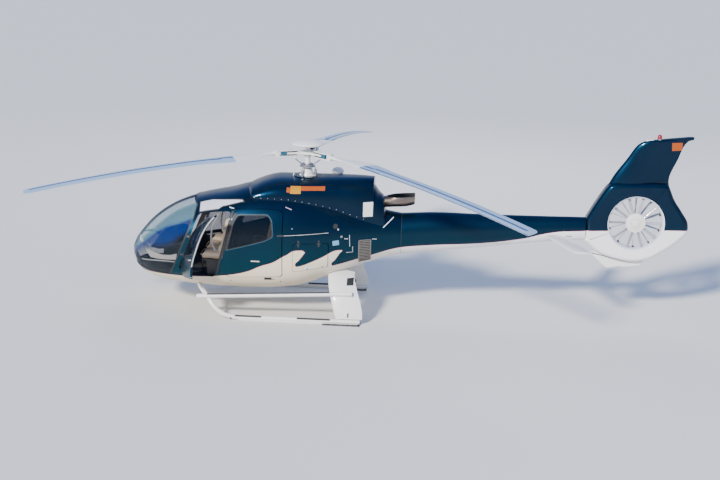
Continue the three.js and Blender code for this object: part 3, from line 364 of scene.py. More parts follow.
def addStudio(setup):
    bpy.ops.mesh.primitive_plane_add(size=setup["floorSize"], location=(-2, 0, -groundToOrigin / 1000))
    floor = bpy.context.object
    floor.name = "studio_floor"
    darker = tuple(c * 0.985 for c in setup["floorColour"])
    floor.data.materials.append(wornMaterial("studioFloor", setup["floorColour"], darker, 0.5, (0.7, 0.8)))
    spot, strength, angle, colour = setup["key"]
    addLamp("key", "SUN", spot, (0, 0, 0), strength, colour, {"angle": math.radians(angle)})
    for name, spot, aim, size, power, colour in setup["lamps"]:
        addLamp(name, "AREA", spot, aim, power, colour, {"size": size}).visible_glossy = False
    world = bpy.data.worlds.new("studio_sky")
    bpy.context.scene.world = world
    world.use_nodes = True
    tree = world.node_tree
    backdrop = tree.nodes["Background"]
    backdrop.inputs["Strength"].default_value = setup["skyStrength"]
    where = tree.nodes.new("ShaderNodeTexCoord")
    split = tree.nodes.new("ShaderNodeSeparateXYZ")
    ramp = tree.nodes.new("ShaderNodeValToRGB")
    for element, position, key in zip(ramp.color_ramp.elements, (0.0, 0.45), ("skyLow", "skyTop")):
        element.position = position
        element.color = (*setup[key], 1)
    tree.links.new(where.outputs["Generated"], split.inputs[0])
    tree.links.new(split.outputs["Z"], ramp.inputs[0])
    tree.links.new(ramp.outputs[0], backdrop.inputs["Color"])


addStudio(studio)


# Modelling helpers
def metres(x, y, z):
    return Vector((x / 1000, y / 1000, (z - groundToOrigin) / 1000))


def alone(piece):
    if bpy.context.object and bpy.context.object.mode != "OBJECT":
        bpy.ops.object.mode_set(mode="OBJECT")
    bpy.ops.object.select_all(action="DESELECT")
    piece.select_set(True)
    bpy.context.view_layer.objects.active = piece
    return piece


def settle(piece):
    alone(piece)
    bpy.ops.object.transform_apply(location=True, rotation=True, scale=True)
    return piece


def edited(piece, work):
    alone(piece)
    bpy.ops.object.mode_set(mode="EDIT")
    bpy.ops.mesh.select_all(action="SELECT")
    work()
    bpy.ops.object.mode_set(mode="OBJECT")
    return piece


def cleaned(piece, distance=0.00002):
    def work():
        bpy.ops.mesh.remove_doubles(threshold=distance)
        bpy.ops.mesh.normals_make_consistent(inside=False)

    return edited(piece, work)


def meshPiece(points, faces, edges=()):
    mesh = bpy.data.meshes.new("piece")
    mesh.from_pydata([metres(*p) for p in points], edges, faces)
    return linked("piece", mesh)


def loft(rings):
    count = len(rings[0])
    points = [p for ring in rings for p in ring]
    faces = []
    for r in range(len(rings) - 1):
        for k in range(count):
            a = r * count + k
            b = r * count + (k + 1) % count
            faces.append((a, b, b + count, a + count))
    faces.append(tuple(range(count))[::-1])
    faces.append(tuple(range(len(points) - count, len(points))))
    return cleaned(meshPiece(points, faces))


def modified(piece, kind, **settings):
    alone(piece)
    modifier = piece.modifiers.new(kind.lower(), kind)
    for key, value in settings.items():
        setattr(modifier, key, value)
    bpy.ops.object.modifier_apply(modifier=modifier.name)
    return piece


def combined(piece, tool, operation, solver="MANIFOLD"):
    modified(piece, "BOOLEAN", operation=operation, solver=solver, object=tool)
    bpy.data.objects.remove(tool)
    return piece


def cut(piece, *tools, solver="MANIFOLD"):
    for tool in tools:
        combined(piece, tool, "DIFFERENCE", solver)
    return piece


def common(piece, tool):
    return combined(piece, tool, "INTERSECT")


def copied(piece, name="copy"):
    twin = piece.copy()
    twin.data = piece.data.copy()
    twin.name = name
    bpy.context.collection.objects.link(twin)
    return twin


def mirrored(piece, name="mirror"):
    twin = copied(piece, name)
    twin.data.transform(Matrix.Scale(-1, 4, (0, 1, 0)))
    twin.data.flip_normals()
    return twin


def joined(*pieces):
    alone(pieces[0])
    for piece in pieces[1:]:
        piece.select_set(True)
    if len(pieces) > 1:
        bpy.ops.object.join()
    return pieces[0]


def turnedAbout(piece, origin, axis, degrees):
    spot = metres(*origin)
    turn = Matrix.Rotation(math.radians(degrees), 4, Vector(axis).normalized())
    piece.data.transform(Matrix.Translation(spot) @ turn @ Matrix.Translation(-spot))
    return piece


def bevelled(piece, width, segments=2, angle=35):
    return modified(piece, "BEVEL", width=width / 1000, segments=segments, limit_method="ANGLE",
                    angle_limit=math.radians(angle))


def shaded(piece, angle=32, weighted=True):
    alone(piece)
    bpy.ops.object.shade_smooth_by_angle(angle=math.radians(angle))
    if weighted:
        modified(piece, "WEIGHTED_NORMAL", keep_sharp=True, weight=80)
    return piece


def box(x0, x1, y0, y1, z0, z1):
    low, high = metres(x0, y0, z0), metres(x1, y1, z1)
    bpy.ops.mesh.primitive_cube_add(size=1, location=(low + high) / 2)
    piece = bpy.context.object
    piece.scale = high - low
    return settle(piece)


def rod(start, end, radius, sides=24, endRadius=None, edge=0.0):
    a, b = metres(*start), metres(*end)
    bpy.ops.mesh.primitive_cone_add(vertices=sides, radius1=radius / 1000, depth=(b - a).length,
                                    radius2=(radius if endRadius is None else endRadius) / 1000)
    piece = bpy.context.object
    piece.rotation_euler = (b - a).to_track_quat("Z", "Y").to_euler()
    piece.location = (a + b) / 2
    settle(piece)
    return bevelled(piece, edge, 2, 50) if edge else piece


def hexBolt(foot, head, radius=9, edge=1.5):
    return rod(foot, head, radius, 6, None, edge)


# A profile of radius and distance along the axis, spun about it
def spun(profile, centre, axis="Z", steps=48):
    along = {"X": (1, 0, 0), "Y": (0, 1, 0), "Z": (0, 0, 1)}[axis]
    side = (0, 1, 0) if axis == "X" else (1, 0, 0)
    points = [Vector(centre) + Vector(side) * r + Vector(along) * d for r, d in profile]
    piece = meshPiece(points, [], [(k, k + 1) for k in range(len(points) - 1)])

    def work():
        bpy.ops.mesh.spin(steps=steps, angle=math.tau, center=metres(*centre), axis=along)

    return cleaned(edited(piece, work))


def tube(points, radius, resolution=10, sides=6, cyclic=False, caps=True):
    data = bpy.data.curves.new("tube", "CURVE")
    data.dimensions = "3D"
    data.bevel_depth = radius / 1000
    data.bevel_resolution = sides
    data.use_fill_caps = caps
    data.resolution_u = resolution
    spline = data.splines.new("BEZIER")
    spline.bezier_points.add(len(points) - 1)
    for knot, point in zip(spline.bezier_points, points):
        knot.co = metres(*point)
        knot.handle_left_type = knot.handle_right_type = "AUTO"
    spline.use_cyclic_u = cyclic
    alone(linked("tube", data))
    bpy.ops.object.convert(target="MESH")
    return cleaned(bpy.context.object)


def dressed(piece, keys):
    piece.data.materials.clear()
    for key in [keys] if isinstance(keys, str) else keys:
        piece.data.materials.append(finish[key])
    return piece


# Puts a piece on its body and in its finish, for the nodes that it stands for. It keeps its own finish
# where keys is None
def placed(piece, body, slot, keys, nodes=()):
    if keys:
        dressed(piece, keys)
    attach(piece, body)
    if nodes:
        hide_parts(*nodes)
    return piece


# Shades, names and places a piece
def made(name, piece, body, slot, keys, *nodes, angle=32, weighted=True):
    shaded(piece, angle, weighted).name = name
    return placed(piece, body, slot, keys, nodes)


# Shades and places a left piece and its mirror image, each on its body; node is the two nodes or their stem
def bothSides(piece, name, bodies, slot, keys, node=None, angle=32):
    shaded(piece, angle)
    other = mirrored(piece, f"{name}_right")
    piece.name = f"{name}_left"
    nodes = (f"{node}_left", f"{node}_right") if isinstance(node, str) else node
    for k, part in enumerate((piece, other)):
        placed(part, bodies[k], slot, keys, (nodes[k],) if nodes else ())
    return piece


# Bodies of a left and a right piece, and slots with their usual finish
fixed = ("airframe", "airframe")
frontDoors = ("front_door_left", "front_door_right")
rearDoors = ("airframe", "rear_door_right")
baggageDoors = ("baggage_door_left", "baggage_door_right")
white, seal, plastic = ("white_paint", "white"), ("rubber", "seal"), ("black_plastic", "plastic")
metal, darkMetal = ("bare_metal", "metal"), ("bare_metal", "darkMetal")


def repaint(piece, index, test):
    for face in piece.data.polygons:
        if test(face.center, face.normal):
            face.material_index = index
    return piece


# Outlines: rounded corners, moved edges, and prisms along y or z
def roundedOutline(points, radius, steps=7):
    result = []
    for k, point in enumerate(points):
        corner = Vector(point)
        back = Vector(points[k - 1]) - corner
        ahead = Vector(points[(k + 1) % len(points)]) - corner
        start = corner + back.normalized() * min(radius, back.length * 0.45)
        end = corner + ahead.normalized() * min(radius, ahead.length * 0.45)
        for s in range(steps + 1):
            t = s / steps
            result.append(start * (1 - t) ** 2 + corner * 2 * t * (1 - t) + end * t ** 2)
    return [(p.x, p.y) for p in result]


# 1 where the outline runs anticlockwise, -1 where it runs clockwise
def turnOf(points):
    return math.copysign(1, sum(b[0] * a[1] - a[0] * b[1] for a, b in zip(points, [points[-1], *points])))


def inset(points, distance):
    count = len(points)
    side = turnOf(points)
    edges = []
    for k in range(count):
        start = Vector(points[k])
        along = (Vector(points[(k + 1) % count]) - start).normalized()
        edges.append((start + Vector((-along.y, along.x)) * side * distance, along))
    result = []
    for k, (start, along) in enumerate(edges):
        before, direction = edges[k - 1]
        turn = direction.x * along.y - direction.y * along.x
        gap = start - before
        reach = (gap.x * along.y - gap.y * along.x) / turn
        result.append(tuple(before + direction * reach))
    return result


def prism(outline, low, high, axis="Y"):
    count = len(outline)
    place = {"X": lambda a, b, side: (side, a, b), "Y": lambda a, b, side: (a, side, b),
             "Z": lambda a, b, side: (a, b, side)}[axis]
    points = [place(a, b, side) for side in (low, high) for a, b in outline]
    faces = [(k, (k + 1) % count, (k + 1) % count + count, k + count) for k in range(count)]
    faces += [tuple(range(count))[::-1], tuple(range(count, 2 * count))]
    return cleaned(meshPiece(points, faces))


def sidePrism(outline, radius=0, low=250, high=pastSkin):
    return prism(roundedOutline(outline, radius) if radius else outline, low, high)


# Skin sections: x, top, bottom, waist, half width, upper and lower roundness
hullRows = (
    (3420, 1045, 995, 1020, 22, 2.0, 2.0), (3400, 1130, 920, 1020, 140, 2.0, 2.0),
    (3330, 1280, 760, 1020, 330, 2.05, 2.1), (3200, 1460, 630, 1040, 500, 2.1, 2.2),
    (3000, 1680, 540, 1080, 660, 2.15, 2.35), (2700, 1910, 485, 1150, 800, 2.25, 2.6),
    (2300, 2105, 455, 1220, 915, 2.4, 2.8), (1980, 2196, 445, 1260, 965, 2.5, 2.9),
    (1500, 2298, 435, 1300, 1005, 2.6, 3.0), (1060, 2418, 435, 1330, 1015, 2.6, 3.0),
    (500, 2425, 455, 1350, 1005, 2.6, 3.0), (0, 2360, 530, 1380, 950, 2.5, 2.9),
    (-500, 2240, 700, 1430, 820, 2.4, 2.7), (-950, 2130, 870, 1470, 660, 2.3, 2.5),
    (-1350, 2040, 1000, 1500, 490, 2.2, 2.4), (-1630, 1980, 1090, 1520, 390, 2.1, 2.3),
    (-1860, 1945, 1140, 1540, 335, 2.0, 2.2),
)
boomRows = (
    (-1860.4, 1945, 1140, 1540, 335, 2.0, 2.2), (-2450, 1985, 1215, 1600, 300, 2.0, 2.1),
    (-3400, 1985, 1330, 1660, 250, 2.0, 2.0), (-4500, 1995, 1480, 1740, 200, 2.0, 2.0),
    (-5399.6, 2010, 1560, 1790, 165, 2.0, 2.0),
)


# A place between two values, a share t of the way, with the slopes there
def between(t, a, b, leave, arrive):
    return (a * (2 * t ** 3 - 3 * t ** 2 + 1) + leave * (t ** 3 - 2 * t ** 2 + t)
            + b * (3 * t ** 2 - 2 * t ** 3) + arrive * (t ** 3 - t ** 2))


# A smooth run through the rows, by their distance in x, height and width
def smoothRows(rows, perSpan, ghost=None):
    def gap(a, b):
        return math.dist(a[:5], b[:5])

    rows = [list(row) for row in rows]
    path = []
    for k in range(len(rows) - 1):
        a, b = rows[k], rows[k + 1]
        before = rows[k - 1] if k else (ghost or [2 * p - q for p, q in zip(a, b)])
        after = rows[k + 2] if k + 2 < len(rows) else [2 * q - p for p, q in zip(a, b)]
        d0, d1, d2 = gap(before, a), gap(a, b), gap(b, after)

        def slope(p, q, r, e, f):
            return [((y - x) / e * f + (z - y) / f * e) / (e + f) * d1 for x, y, z in zip(p, q, r)]

        leave = slope(before, a, b, d0, d1)
        arrive = slope(a, b, after, d1, d2)
        for s in range(perSpan):
            t = s / perSpan
            path.append([between(t, *four) for four in zip(a, b, leave, arrive)])
    return path + [rows[-1]]


def sectionRing(row, grow, count):
    x, top, bottom, waist, halfWidth, upper, lower = row
    ring = []
    for k in range(count):
        angle = math.tau * k / count
        c, s = math.cos(angle), math.sin(angle)
        power = 2 / (upper if s >= 0 else lower)
        across = math.copysign(abs(c) ** power, c) * (halfWidth + grow)
        rise = abs(s) ** power * (top + grow - waist if s >= 0 else bottom - grow - waist)
        ring.append((x, across, waist + rise))
    return ring


hullPath = smoothRows(hullRows, 7, (3400, 910, 1130, 1020, -140, 2.0, 2.0))


def hull(grow=0, count=120):
    rings = []
    for row in hullPath:
        if row[4] + grow > 12:
            share = min(1, max(0, (row[0] - 2300) / 1100))      # the nose grows forward too
            rear = -max(grow, 0) if row is hullPath[-1] else 0
            rings.append(sectionRing([row[0] + grow * share + rear, *row[1:]], grow, count))
    return loft(rings)


# A skin layer between two distances from the hull, made once and copied
def layer(outer, inner):
    if (outer, inner) not in layers:
        layers[outer, inner] = cut(hull(outer), hull(inner))
    return copied(layers[outer, inner])


layers = {}


def widthAt(x, z):
    for a, b in zip(hullPath, hullPath[1:]):
        if a[0] >= x >= b[0]:
            share = (x - a[0]) / (b[0] - a[0])
            row = [p + (q - p) * share for p, q in zip(a, b)]
            break
    else:
        row = hullPath[-1]
    _, top, bottom, waist, halfWidth, upper, lower = row
    rise = (z - waist) / (top - waist) if z >= waist else (waist - z) / (waist - bottom)
    power = upper if z >= waist else lower
    return halfWidth * (1 - min(1, rise) ** power) ** (1 / power)


# Cabin: openings, doors and glass, x and height of each corner
cabin = {
    "thickness": 40,
    "glass": 9,
    "doorGap": 7,
    "floor": 740,
    "bulkhead": 200,
    "aislePlate": (1122, 1282, -560, 560),
    "windshield": ((3700, 800), (3300, 790), (3000, 745), (2560, 735), (2420, 1040), (2280, 1400), (2150, 1710),
                   (2080, 1910), (2050, 2090), (2180, 2165), (2180, 2600), (3700, 2600)),
    "centrePost": 32,
    "frontDoor": ((2378, 905), (2130, 765), (1665, 765), (1575, 1140), (1525, 1320), (1445, 1640), (1385, 1910),
                  (1360, 2050), (1720, 2010), (1985, 1965), (2060, 1780), (2140, 1520), (2280, 1130)),
    "frontWindow": ((2225, 1150), (1615, 1230), (1575, 1340), (1495, 1640), (1435, 1910), (1420, 1985), (1710, 1955),
                    (1945, 1915), (2000, 1780), (2080, 1540)),
    "rearDoor": ((1577, 900), (1380, 777), (355, 830), (360, 2095), (600, 2130), (1290, 2100), (1330, 1910),
                 (1390, 1640), (1470, 1320), (1520, 1140)),
    "rearWindow": ((1425, 1335), (720, 1535), (545, 1625), (578, 1925), (660, 2024), (1222, 1998), (1302, 1850),
                   (1345, 1640)),
    "skylight": ((2010, 468), (1751, 470), (1160, 655), (1130, 705), (1533, 708), (1613, 745), (1982, 715)),
    "sweepRoom": 7,      # a door's rear edge swings aft, so it has this much more room
    "doorCorner": 70,
    "frontWindowCorner": 45,
    "rearWindowCorner": 55,
    "openAngle": 62,
    "frontHinge": ((2402, 925, 800), (-0.359, 0, 1)),
    "rearHinge": ((1604, 1013, 800), (-0.26, 0, 1)),
}


def panel(outline, gap, outer, inner, radius):
    return common(layer(outer, inner), sidePrism(inset(outline, gap), radius))


def sweptOutline(outline):
    aft = min(x for x, _ in outline) + 20
    return [(x + cabin["sweepRoom"] if x < aft else x, z) for x, z in outline]


# The left front door's pieces are modelled closed, and then swung to where the door stands
def swungOpen(*pieces):
    for piece in pieces:
        turnedAbout(piece, *cabin["frontHinge"], -cabin["openAngle"])


def buildCabin(data):
    thick, glass, corner, floor = data["thickness"], data["glass"], data["doorCorner"], data["floor"]
    room = common(hull(-thick), box(data["bulkhead"] + thick, 3500, -1200, 1200, floor, 2600))
    shell = common(hull(), box(data["bulkhead"], 3600, -1300, 1300, 0, 3000))
    cut(shell, room)
    for tool in (prism(data["windshield"], data["centrePost"], pastSkin),
                 prism(roundedOutline(data["skylight"], 30), *roofSpan),
                 sidePrism(data["frontDoor"], corner), sidePrism(data["rearDoor"], corner)):
        cut(shell, mirrored(tool), tool)
    combined(shell, box(*data["aislePlate"], floor - 5, floor + 3), "UNION")

    def inner(point, normal):
        inwards = normal.y * point.y + normal.z * (point.z - 0.8) + normal.x * max(0, point.x - 2.2) < 0
        return inwards and point.x > 0.23 and point.z > 0.2

    def flat(point, normal):
        return normal.z > 0.95 and abs(point.z - (floor - groundToOrigin) / 1000) < 0.004

    repaint(repaint(dressed(shell, ("body", "lining", "carpet")), 1, inner), 2, flat)
    made("cabin_skin", shell, "airframe", "blue_paint", None, "cabin_shell")

    for stem, outline, bodies, nodes in (
            ("front", data["frontDoor"], frontDoors, "front_door"),
            ("rear", sweptOutline(data["rearDoor"]), rearDoors, ("sliding_door_left", "rear_door_right"))):
        window, windowCorner = data[f"{stem}Window"], data[f"{stem}WindowCorner"]
        door = cut(panel(outline, data["doorGap"], 0, -thick, corner), sidePrism(window, windowCorner))
        repaint(dressed(door, ("body", "lining")), 1, inner)
        bothSides(door, f"{stem}_door_skin", bodies, "blue_paint", None, nodes)
        pane = panel(window, 0.5, -2, -2 - glass, windowCorner)
        bothSides(pane, f"{stem}_window_skin", bodies, "glass", "glass", f"{stem}_window")
        if stem == "front":
            swungOpen(door, pane)
    for node, outline, span in (
            ("windshield", inset(data["windshield"], 0.5), (data["centrePost"] + 0.5, pastSkin)),
            ("skylight", roundedOutline(inset(data["skylight"], 0.5), 30), roofSpan)):
        pane = common(layer(-2, -2 - glass), prism(outline, *span))
        bothSides(pane, f"{node}_pane", fixed, "glass", node, node)


buildCabin(cabin)
print("cabin skin, doors and glass")

fuselage = {
    "bay": (-470, 140, 420, 1200, 1040, 1460),
    "hardPoint": (-90, 90, -70, 70, groundToOrigin, 640),
    "baggageDoor": ((170, 930), (-500, 1010), (-510, 1500), (170, 1500)),
    "corner": 50,
    "grille": (-1290, -1070, 1060, 1520),
    "slats": 13,
}


def buildFuselage(data):
    body = common(hull(), box(-1861, 199.6, -1300, 1300, 0, 3000))
    recess = common(layer(30, -46), sidePrism(data["baggageDoor"], data["corner"]))
    x0, x1, z0, z1 = data["grille"]

    # The grille's outline moved outwards by a distance, as a tool
    def grilleTool(out, corner):
        outline = ((x1 + out, z0 - out), (x0 - out, z0 + 30 - out), (x0 - out, z1 + out), (x1 + out, z1 + out))
        return prism(roundedOutline(outline, corner), 200, 900)

    # Faces behind the grille are painted near black: painted shade in the recess
    def behindGrille(point, normal):
        near = -1.3 < point.x < -1.06 and 0.55 < point.z < 1.03
        return near and 0.2 < abs(point.y) < widthAt(point.x * 1000, point.z * 1000 + groundToOrigin) / 1000 - 0.02

    for tool in (recess, box(*data["bay"]), common(layer(20, -28), grilleTool(0, 30))):
        cut(body, mirrored(tool), tool)
    combined(body, box(*data["hardPoint"]), "UNION")
    repaint(dressed(body, ("body", "soot")), 1, behindGrille)
    made("rear_fuselage_skin", body, "airframe", "blue_paint", None, "rear_fuselage")
    door = panel(sweptOutline(data["baggageDoor"]), cabin["doorGap"], 0, -cabin["thickness"], data["corner"])
    bothSides(door, "baggage_door_skin", baggageDoors, "blue_paint", "body", "baggage_door")
    step = (z1 - z0 - 30) / data["slats"]
    feet = [z0 + 22 + k * step for k in range(data["slats"])]
    slats = [common(layer(2, -18), box(x0 + 6, x1 - 6, 200, 900, z, z + step * 0.55)) for z in feet]
    rim = cut(common(layer(4, -4), grilleTool(10, 30)), grilleTool(-8, 22))
    bothSides(joined(*slats, rim), "grille", fixed, "bare_metal", "grille")


buildFuselage(fuselage)
print("rear fuselage")

# Engine cowling: x, top, seam height, share of the skin's width, roundness
cowling = {
    "lip": 9,
    "rows": (
        (1130, 2422, 2375, 0.5, 2.2), (1000, 2470, 2280, 1, 2.3), (850, 2532, 2265, 1, 2.5), (620, 2597, 2260, 1, 2.7),
        (300, 2614, 2245, 1, 2.8), (-180, 2630, 2170, 1, 2.9), (-620, 2644, 2060, 1, 2.9), (-1100, 2648, 1890, 1, 2.9),
        (-1310, 2643, 1825, 1, 2.8),
    ),
    "rearRows": ((-1300, 2500, 1822, 0.985, 2.6), (-1330, 2465, 1815, 0.985, 2.6), (-1412, 2355, 1790, 0.985, 2.5),
                 (-1500, 2270, 1770, 0.97, 2.4), (-1545, 2060, 1765, 0.92, 2.2)),
    "deckRadius": 262,
    "deckHeight": 2606,
    "engineBay": (-1240, -440, -270, 270, 1900, 2560),
}


def cowlingShape(rows, perSpan, grow=0, shift=0):
    path = smoothRows([(x, top, seam, seam, share, roundness, 2.2) for x, top, seam, share, roundness in rows], perSpan)
    rings = []
    for x, top, _, seam, share, roundness, low in path:
        halfWidth = min(1, share) * (widthAt(x, seam) + cowling["lip"])
        rings.append(sectionRing((x + shift, top, seam - 45, seam, halfWidth, roundness, low), grow, 96))
    return loft(rings)


def cowlingLayer(outer, inner):
    return cut(cowlingShape(cowling["rows"], 8, outer), cowlingShape(cowling["rows"], 8, inner))


def buildCowling(data):
    main = bevelled(cowlingShape(data["rows"], 8), 26, 4, 60)
    combined(main, cowlingShape(data["rearRows"], 6), "UNION")
    deck = rod((0, 0, data["deckHeight"]), (0, 0, 2740), data["deckRadius"], 64)
    cut(main, hull(seatGap), deck, box(*data["engineBay"]))
    made("cowling_skin", main, "airframe", "blue_paint", "body", "engine_cowling", angle=35)


def boomShape(grow=0, rows=boomRows):
    return loft([sectionRing(row, grow, 96) for row in smoothRows(rows, 8)])


buildCowling(cowling)
made("tail_boom_skin", boomShape(), "airframe", "blue_paint", "body", "tail_boom")
print("cowling and boom")

# Aerofoil pieces: a row is nose, tail, thickness and the direction of the thickness
def foilHalf(u):
    root = 0.2969 * math.sqrt(u)
    return 5 * (root - 0.126 * u - 0.3516 * u ** 2 + 0.2843 * u ** 3 - 0.1015 * u ** 4) + 0.05 * u


def foilRing(row, count):
    nose, tail, thickness, across = Vector(row[0:3]), Vector(row[3:6]), row[6], Vector(row[7:10])
    shares = [(1 - math.cos(math.pi * k / count)) / 2 for k in range(count + 1)]
    upper = [nose.lerp(tail, u) + across * foilHalf(u) * thickness for u in shares]
    lower = [nose.lerp(tail, u) - across * foilHalf(u) * thickness for u in shares[1:][::-1]]
    return [tuple(p) for p in upper + lower]


def foil(rows, perSpan=4, count=20):
    return loft([foilRing(row, count) for row in smoothRows(rows, perSpan)])


# Closed outline through points, smooth except where a corner is marked by a third value
def smoothOutline(points, perSpan=10):
    count = len(points)
    result = []
    for k in range(count):
        p0, p1, p2, p3 = (points[(k + j) % count] for j in (-1, 0, 1, 2))
        a, b = Vector(p1[:2]), Vector(p2[:2])
        before = a * 2 - b if len(p1) > 2 else Vector(p0[:2])
        after = b * 2 - a if len(p2) > 2 else Vector(p3[:2])
        d0, d1, d2 = (a - before).length ** 0.5, (b - a).length ** 0.5, (after - b).length ** 0.5
        leave = ((a - before) / d0 * d1 + (b - a) / d1 * d0) / (d0 + d1) * d1
        arrive = ((b - a) / d1 * d2 + (after - b) / d2 * d1) / (d1 + d2) * d1
        for s in range(perSpan):
            t = s / perSpan
            result.append(between(t, a, b, leave, arrive))
    return result


# A plate in the x-z plane with round edges, from its outline, half width and edge radius. Its sides run in
# strips to the core, a ring of centre x and z and radius
def pillow(outline, halfWidth, edge, steps=8, core=None):
    count = len(outline)
    side = turnOf(outline)
    normals = []
    for k in range(count):
        along = (outline[(k + 1) % count] - outline[k - 1]).normalized()
        normals.append(Vector((-along.y, along.x)) * side)
    rings = []
    for s in range(-steps, steps + 1):
        angle = math.pi / 2 * s / steps
        y = math.copysign(halfWidth - edge, s) + edge * math.sin(angle) if s else 0
        depth = edge * (1 - math.cos(angle))
        rings.append([(p.x + n.x * depth, y, p.y + n.y * depth) for p, n in zip(outline, normals)])
    if core:
        middle = Vector(core[:2])
        for end in (0, -1):
            rim = [Vector((p[0], p[2])) for p in rings[end]]
            ring = [middle + (p - middle).normalized() * core[2] for p in rim]
            for share in (0.3, 0.6, 0.8, 1):
                spots = [p.lerp(q, share) for p, q in zip(rim, ring)]
                rings.insert(0 if end == 0 else len(rings), [(p.x, rings[end][0][1], p.y) for p in spots])
    return loft(rings)


tail = {
    "centre": (-6350, 0, 1950),
    "ductRadius": 505,
    "lip": 58,
    "halfWidth": 165,
    "edge": 95,
    "shroud": ((-5400, 2012, 1), (-5400, 1562, 1), (-5690, 1335), (-6060, 1215), (-6380, 1185), (-6650, 1245),
               (-6900, 1395), (-7150, 1585), (-7335, 1800), (-7335, 1995), (-7200, 2215), (-7050, 2430),
               (-6952, 2640), (-6905, 2722), (-6790, 2750), (-6300, 2738),
               (-5850, 2708), (-5775, 2655), (-5570, 2330)),
    # fin: nose x and z, tail x and z, thickness
    "fin": ((-5560, 2120, -7100, 2120, 240), (-5690, 2440, -7030, 2440, 236), (-5850, 2810, -6915, 2800, 206),
            (-6090, 3170, -7050, 3200, 162), (-6320, 3490, -7205, 3550, 140), (-6400, 3530, -7290, 3615, 125),
            (-6450, 3548, -7310, 3640, 70)),
    "ventral": ((-5500, 1330), (-5870, 1000), (-6120, 1060), (-6190, 1040), (-6520, 1085), (-6640, 1320)),
    "fanAngles": (0, 34, 72, 104, 142, 180, 214, 252, 284, 322),
    "fanPlane": 62,
    # fan blade and vane: radius, chord and pitch in degrees
    "fanBlade": ((182, 60, 40), (260, 62, 36), (380, 62, 30), (496, 60, 25)),
    "vane": ((95, 96, 80), (300, 96, 80), (504, 96, 80)),
    # hub and gearbox pod: radius and distance from the centre
    "hub": ((0, 18), (176, 18), (187, 21), (190, 30), (190, 92), (186, 100), (170, 106), (120, 111), (118, 116),
            (70, 118), (66, 126), (58, 130), (30, 132), (0, 132)),
    "pod": ((0, -200), (40, -197), (70, -190), (95, -177), (110, -160), (118, -138), (120, -110), (120, -34),
            (112, -22), (70, -12), (46, -12), (46, 17.6), (0, 17.6)),
    # stabilizer: y, nose x, tail x, thickness
    "stabilizer": ((120, -4590, -5010, 56), (700, -4810, -5202, 52), (1300, -5037, -5398, 46), (1345, -5062, -5420, 40),
                   (1365, -5090, -5425, 20)),
    "stabilizerHeight": 1660,
}


def ductTool(data):
    radius, lip, half = data["ductRadius"], data["lip"], data["halfWidth"]
    bend = []
    for t in range(11):
        angle = math.pi / 2 * t / 10
        bend.append((radius + lip * (1 - math.sin(angle)), half + 6 - 81 * (1 - math.cos(angle))))
    side = [(0, 300), (radius + lip, 300), *bend]
    profile = [(r, -y) for r, y in side] + side[::-1]
    return spun(profile, data["centre"], "Y", 96)


def fanBlade(angle, stations, y, thickness):
    turn = math.radians(angle)
    spoke = Vector((math.cos(turn), 0, math.sin(turn)))
    sideways = Vector((-math.sin(turn), 0, math.cos(turn)))
    out = Vector((0, 1, 0))
    centre = Vector(tail["centre"]) + out * y
    rows = []
    for r, chord, pitch in stations:
        tilt = math.radians(pitch)
        along = sideways * math.cos(tilt) + out * math.sin(tilt)
        across = out * math.cos(tilt) - sideways * math.sin(tilt)
        middle = centre + spoke * r
        rows.append((*(middle - along * chord / 2), *(middle + along * chord / 2), thickness, *across))
    return foil(rows, 3, 10)


def finShape(grow=0):
    return foil([(noseX, 0, noseZ, endX, 0, endZ, thick + 2 * grow, 0, 1, 0)
                 for noseX, noseZ, endX, endZ, thick in tail["fin"]], 6, 28)


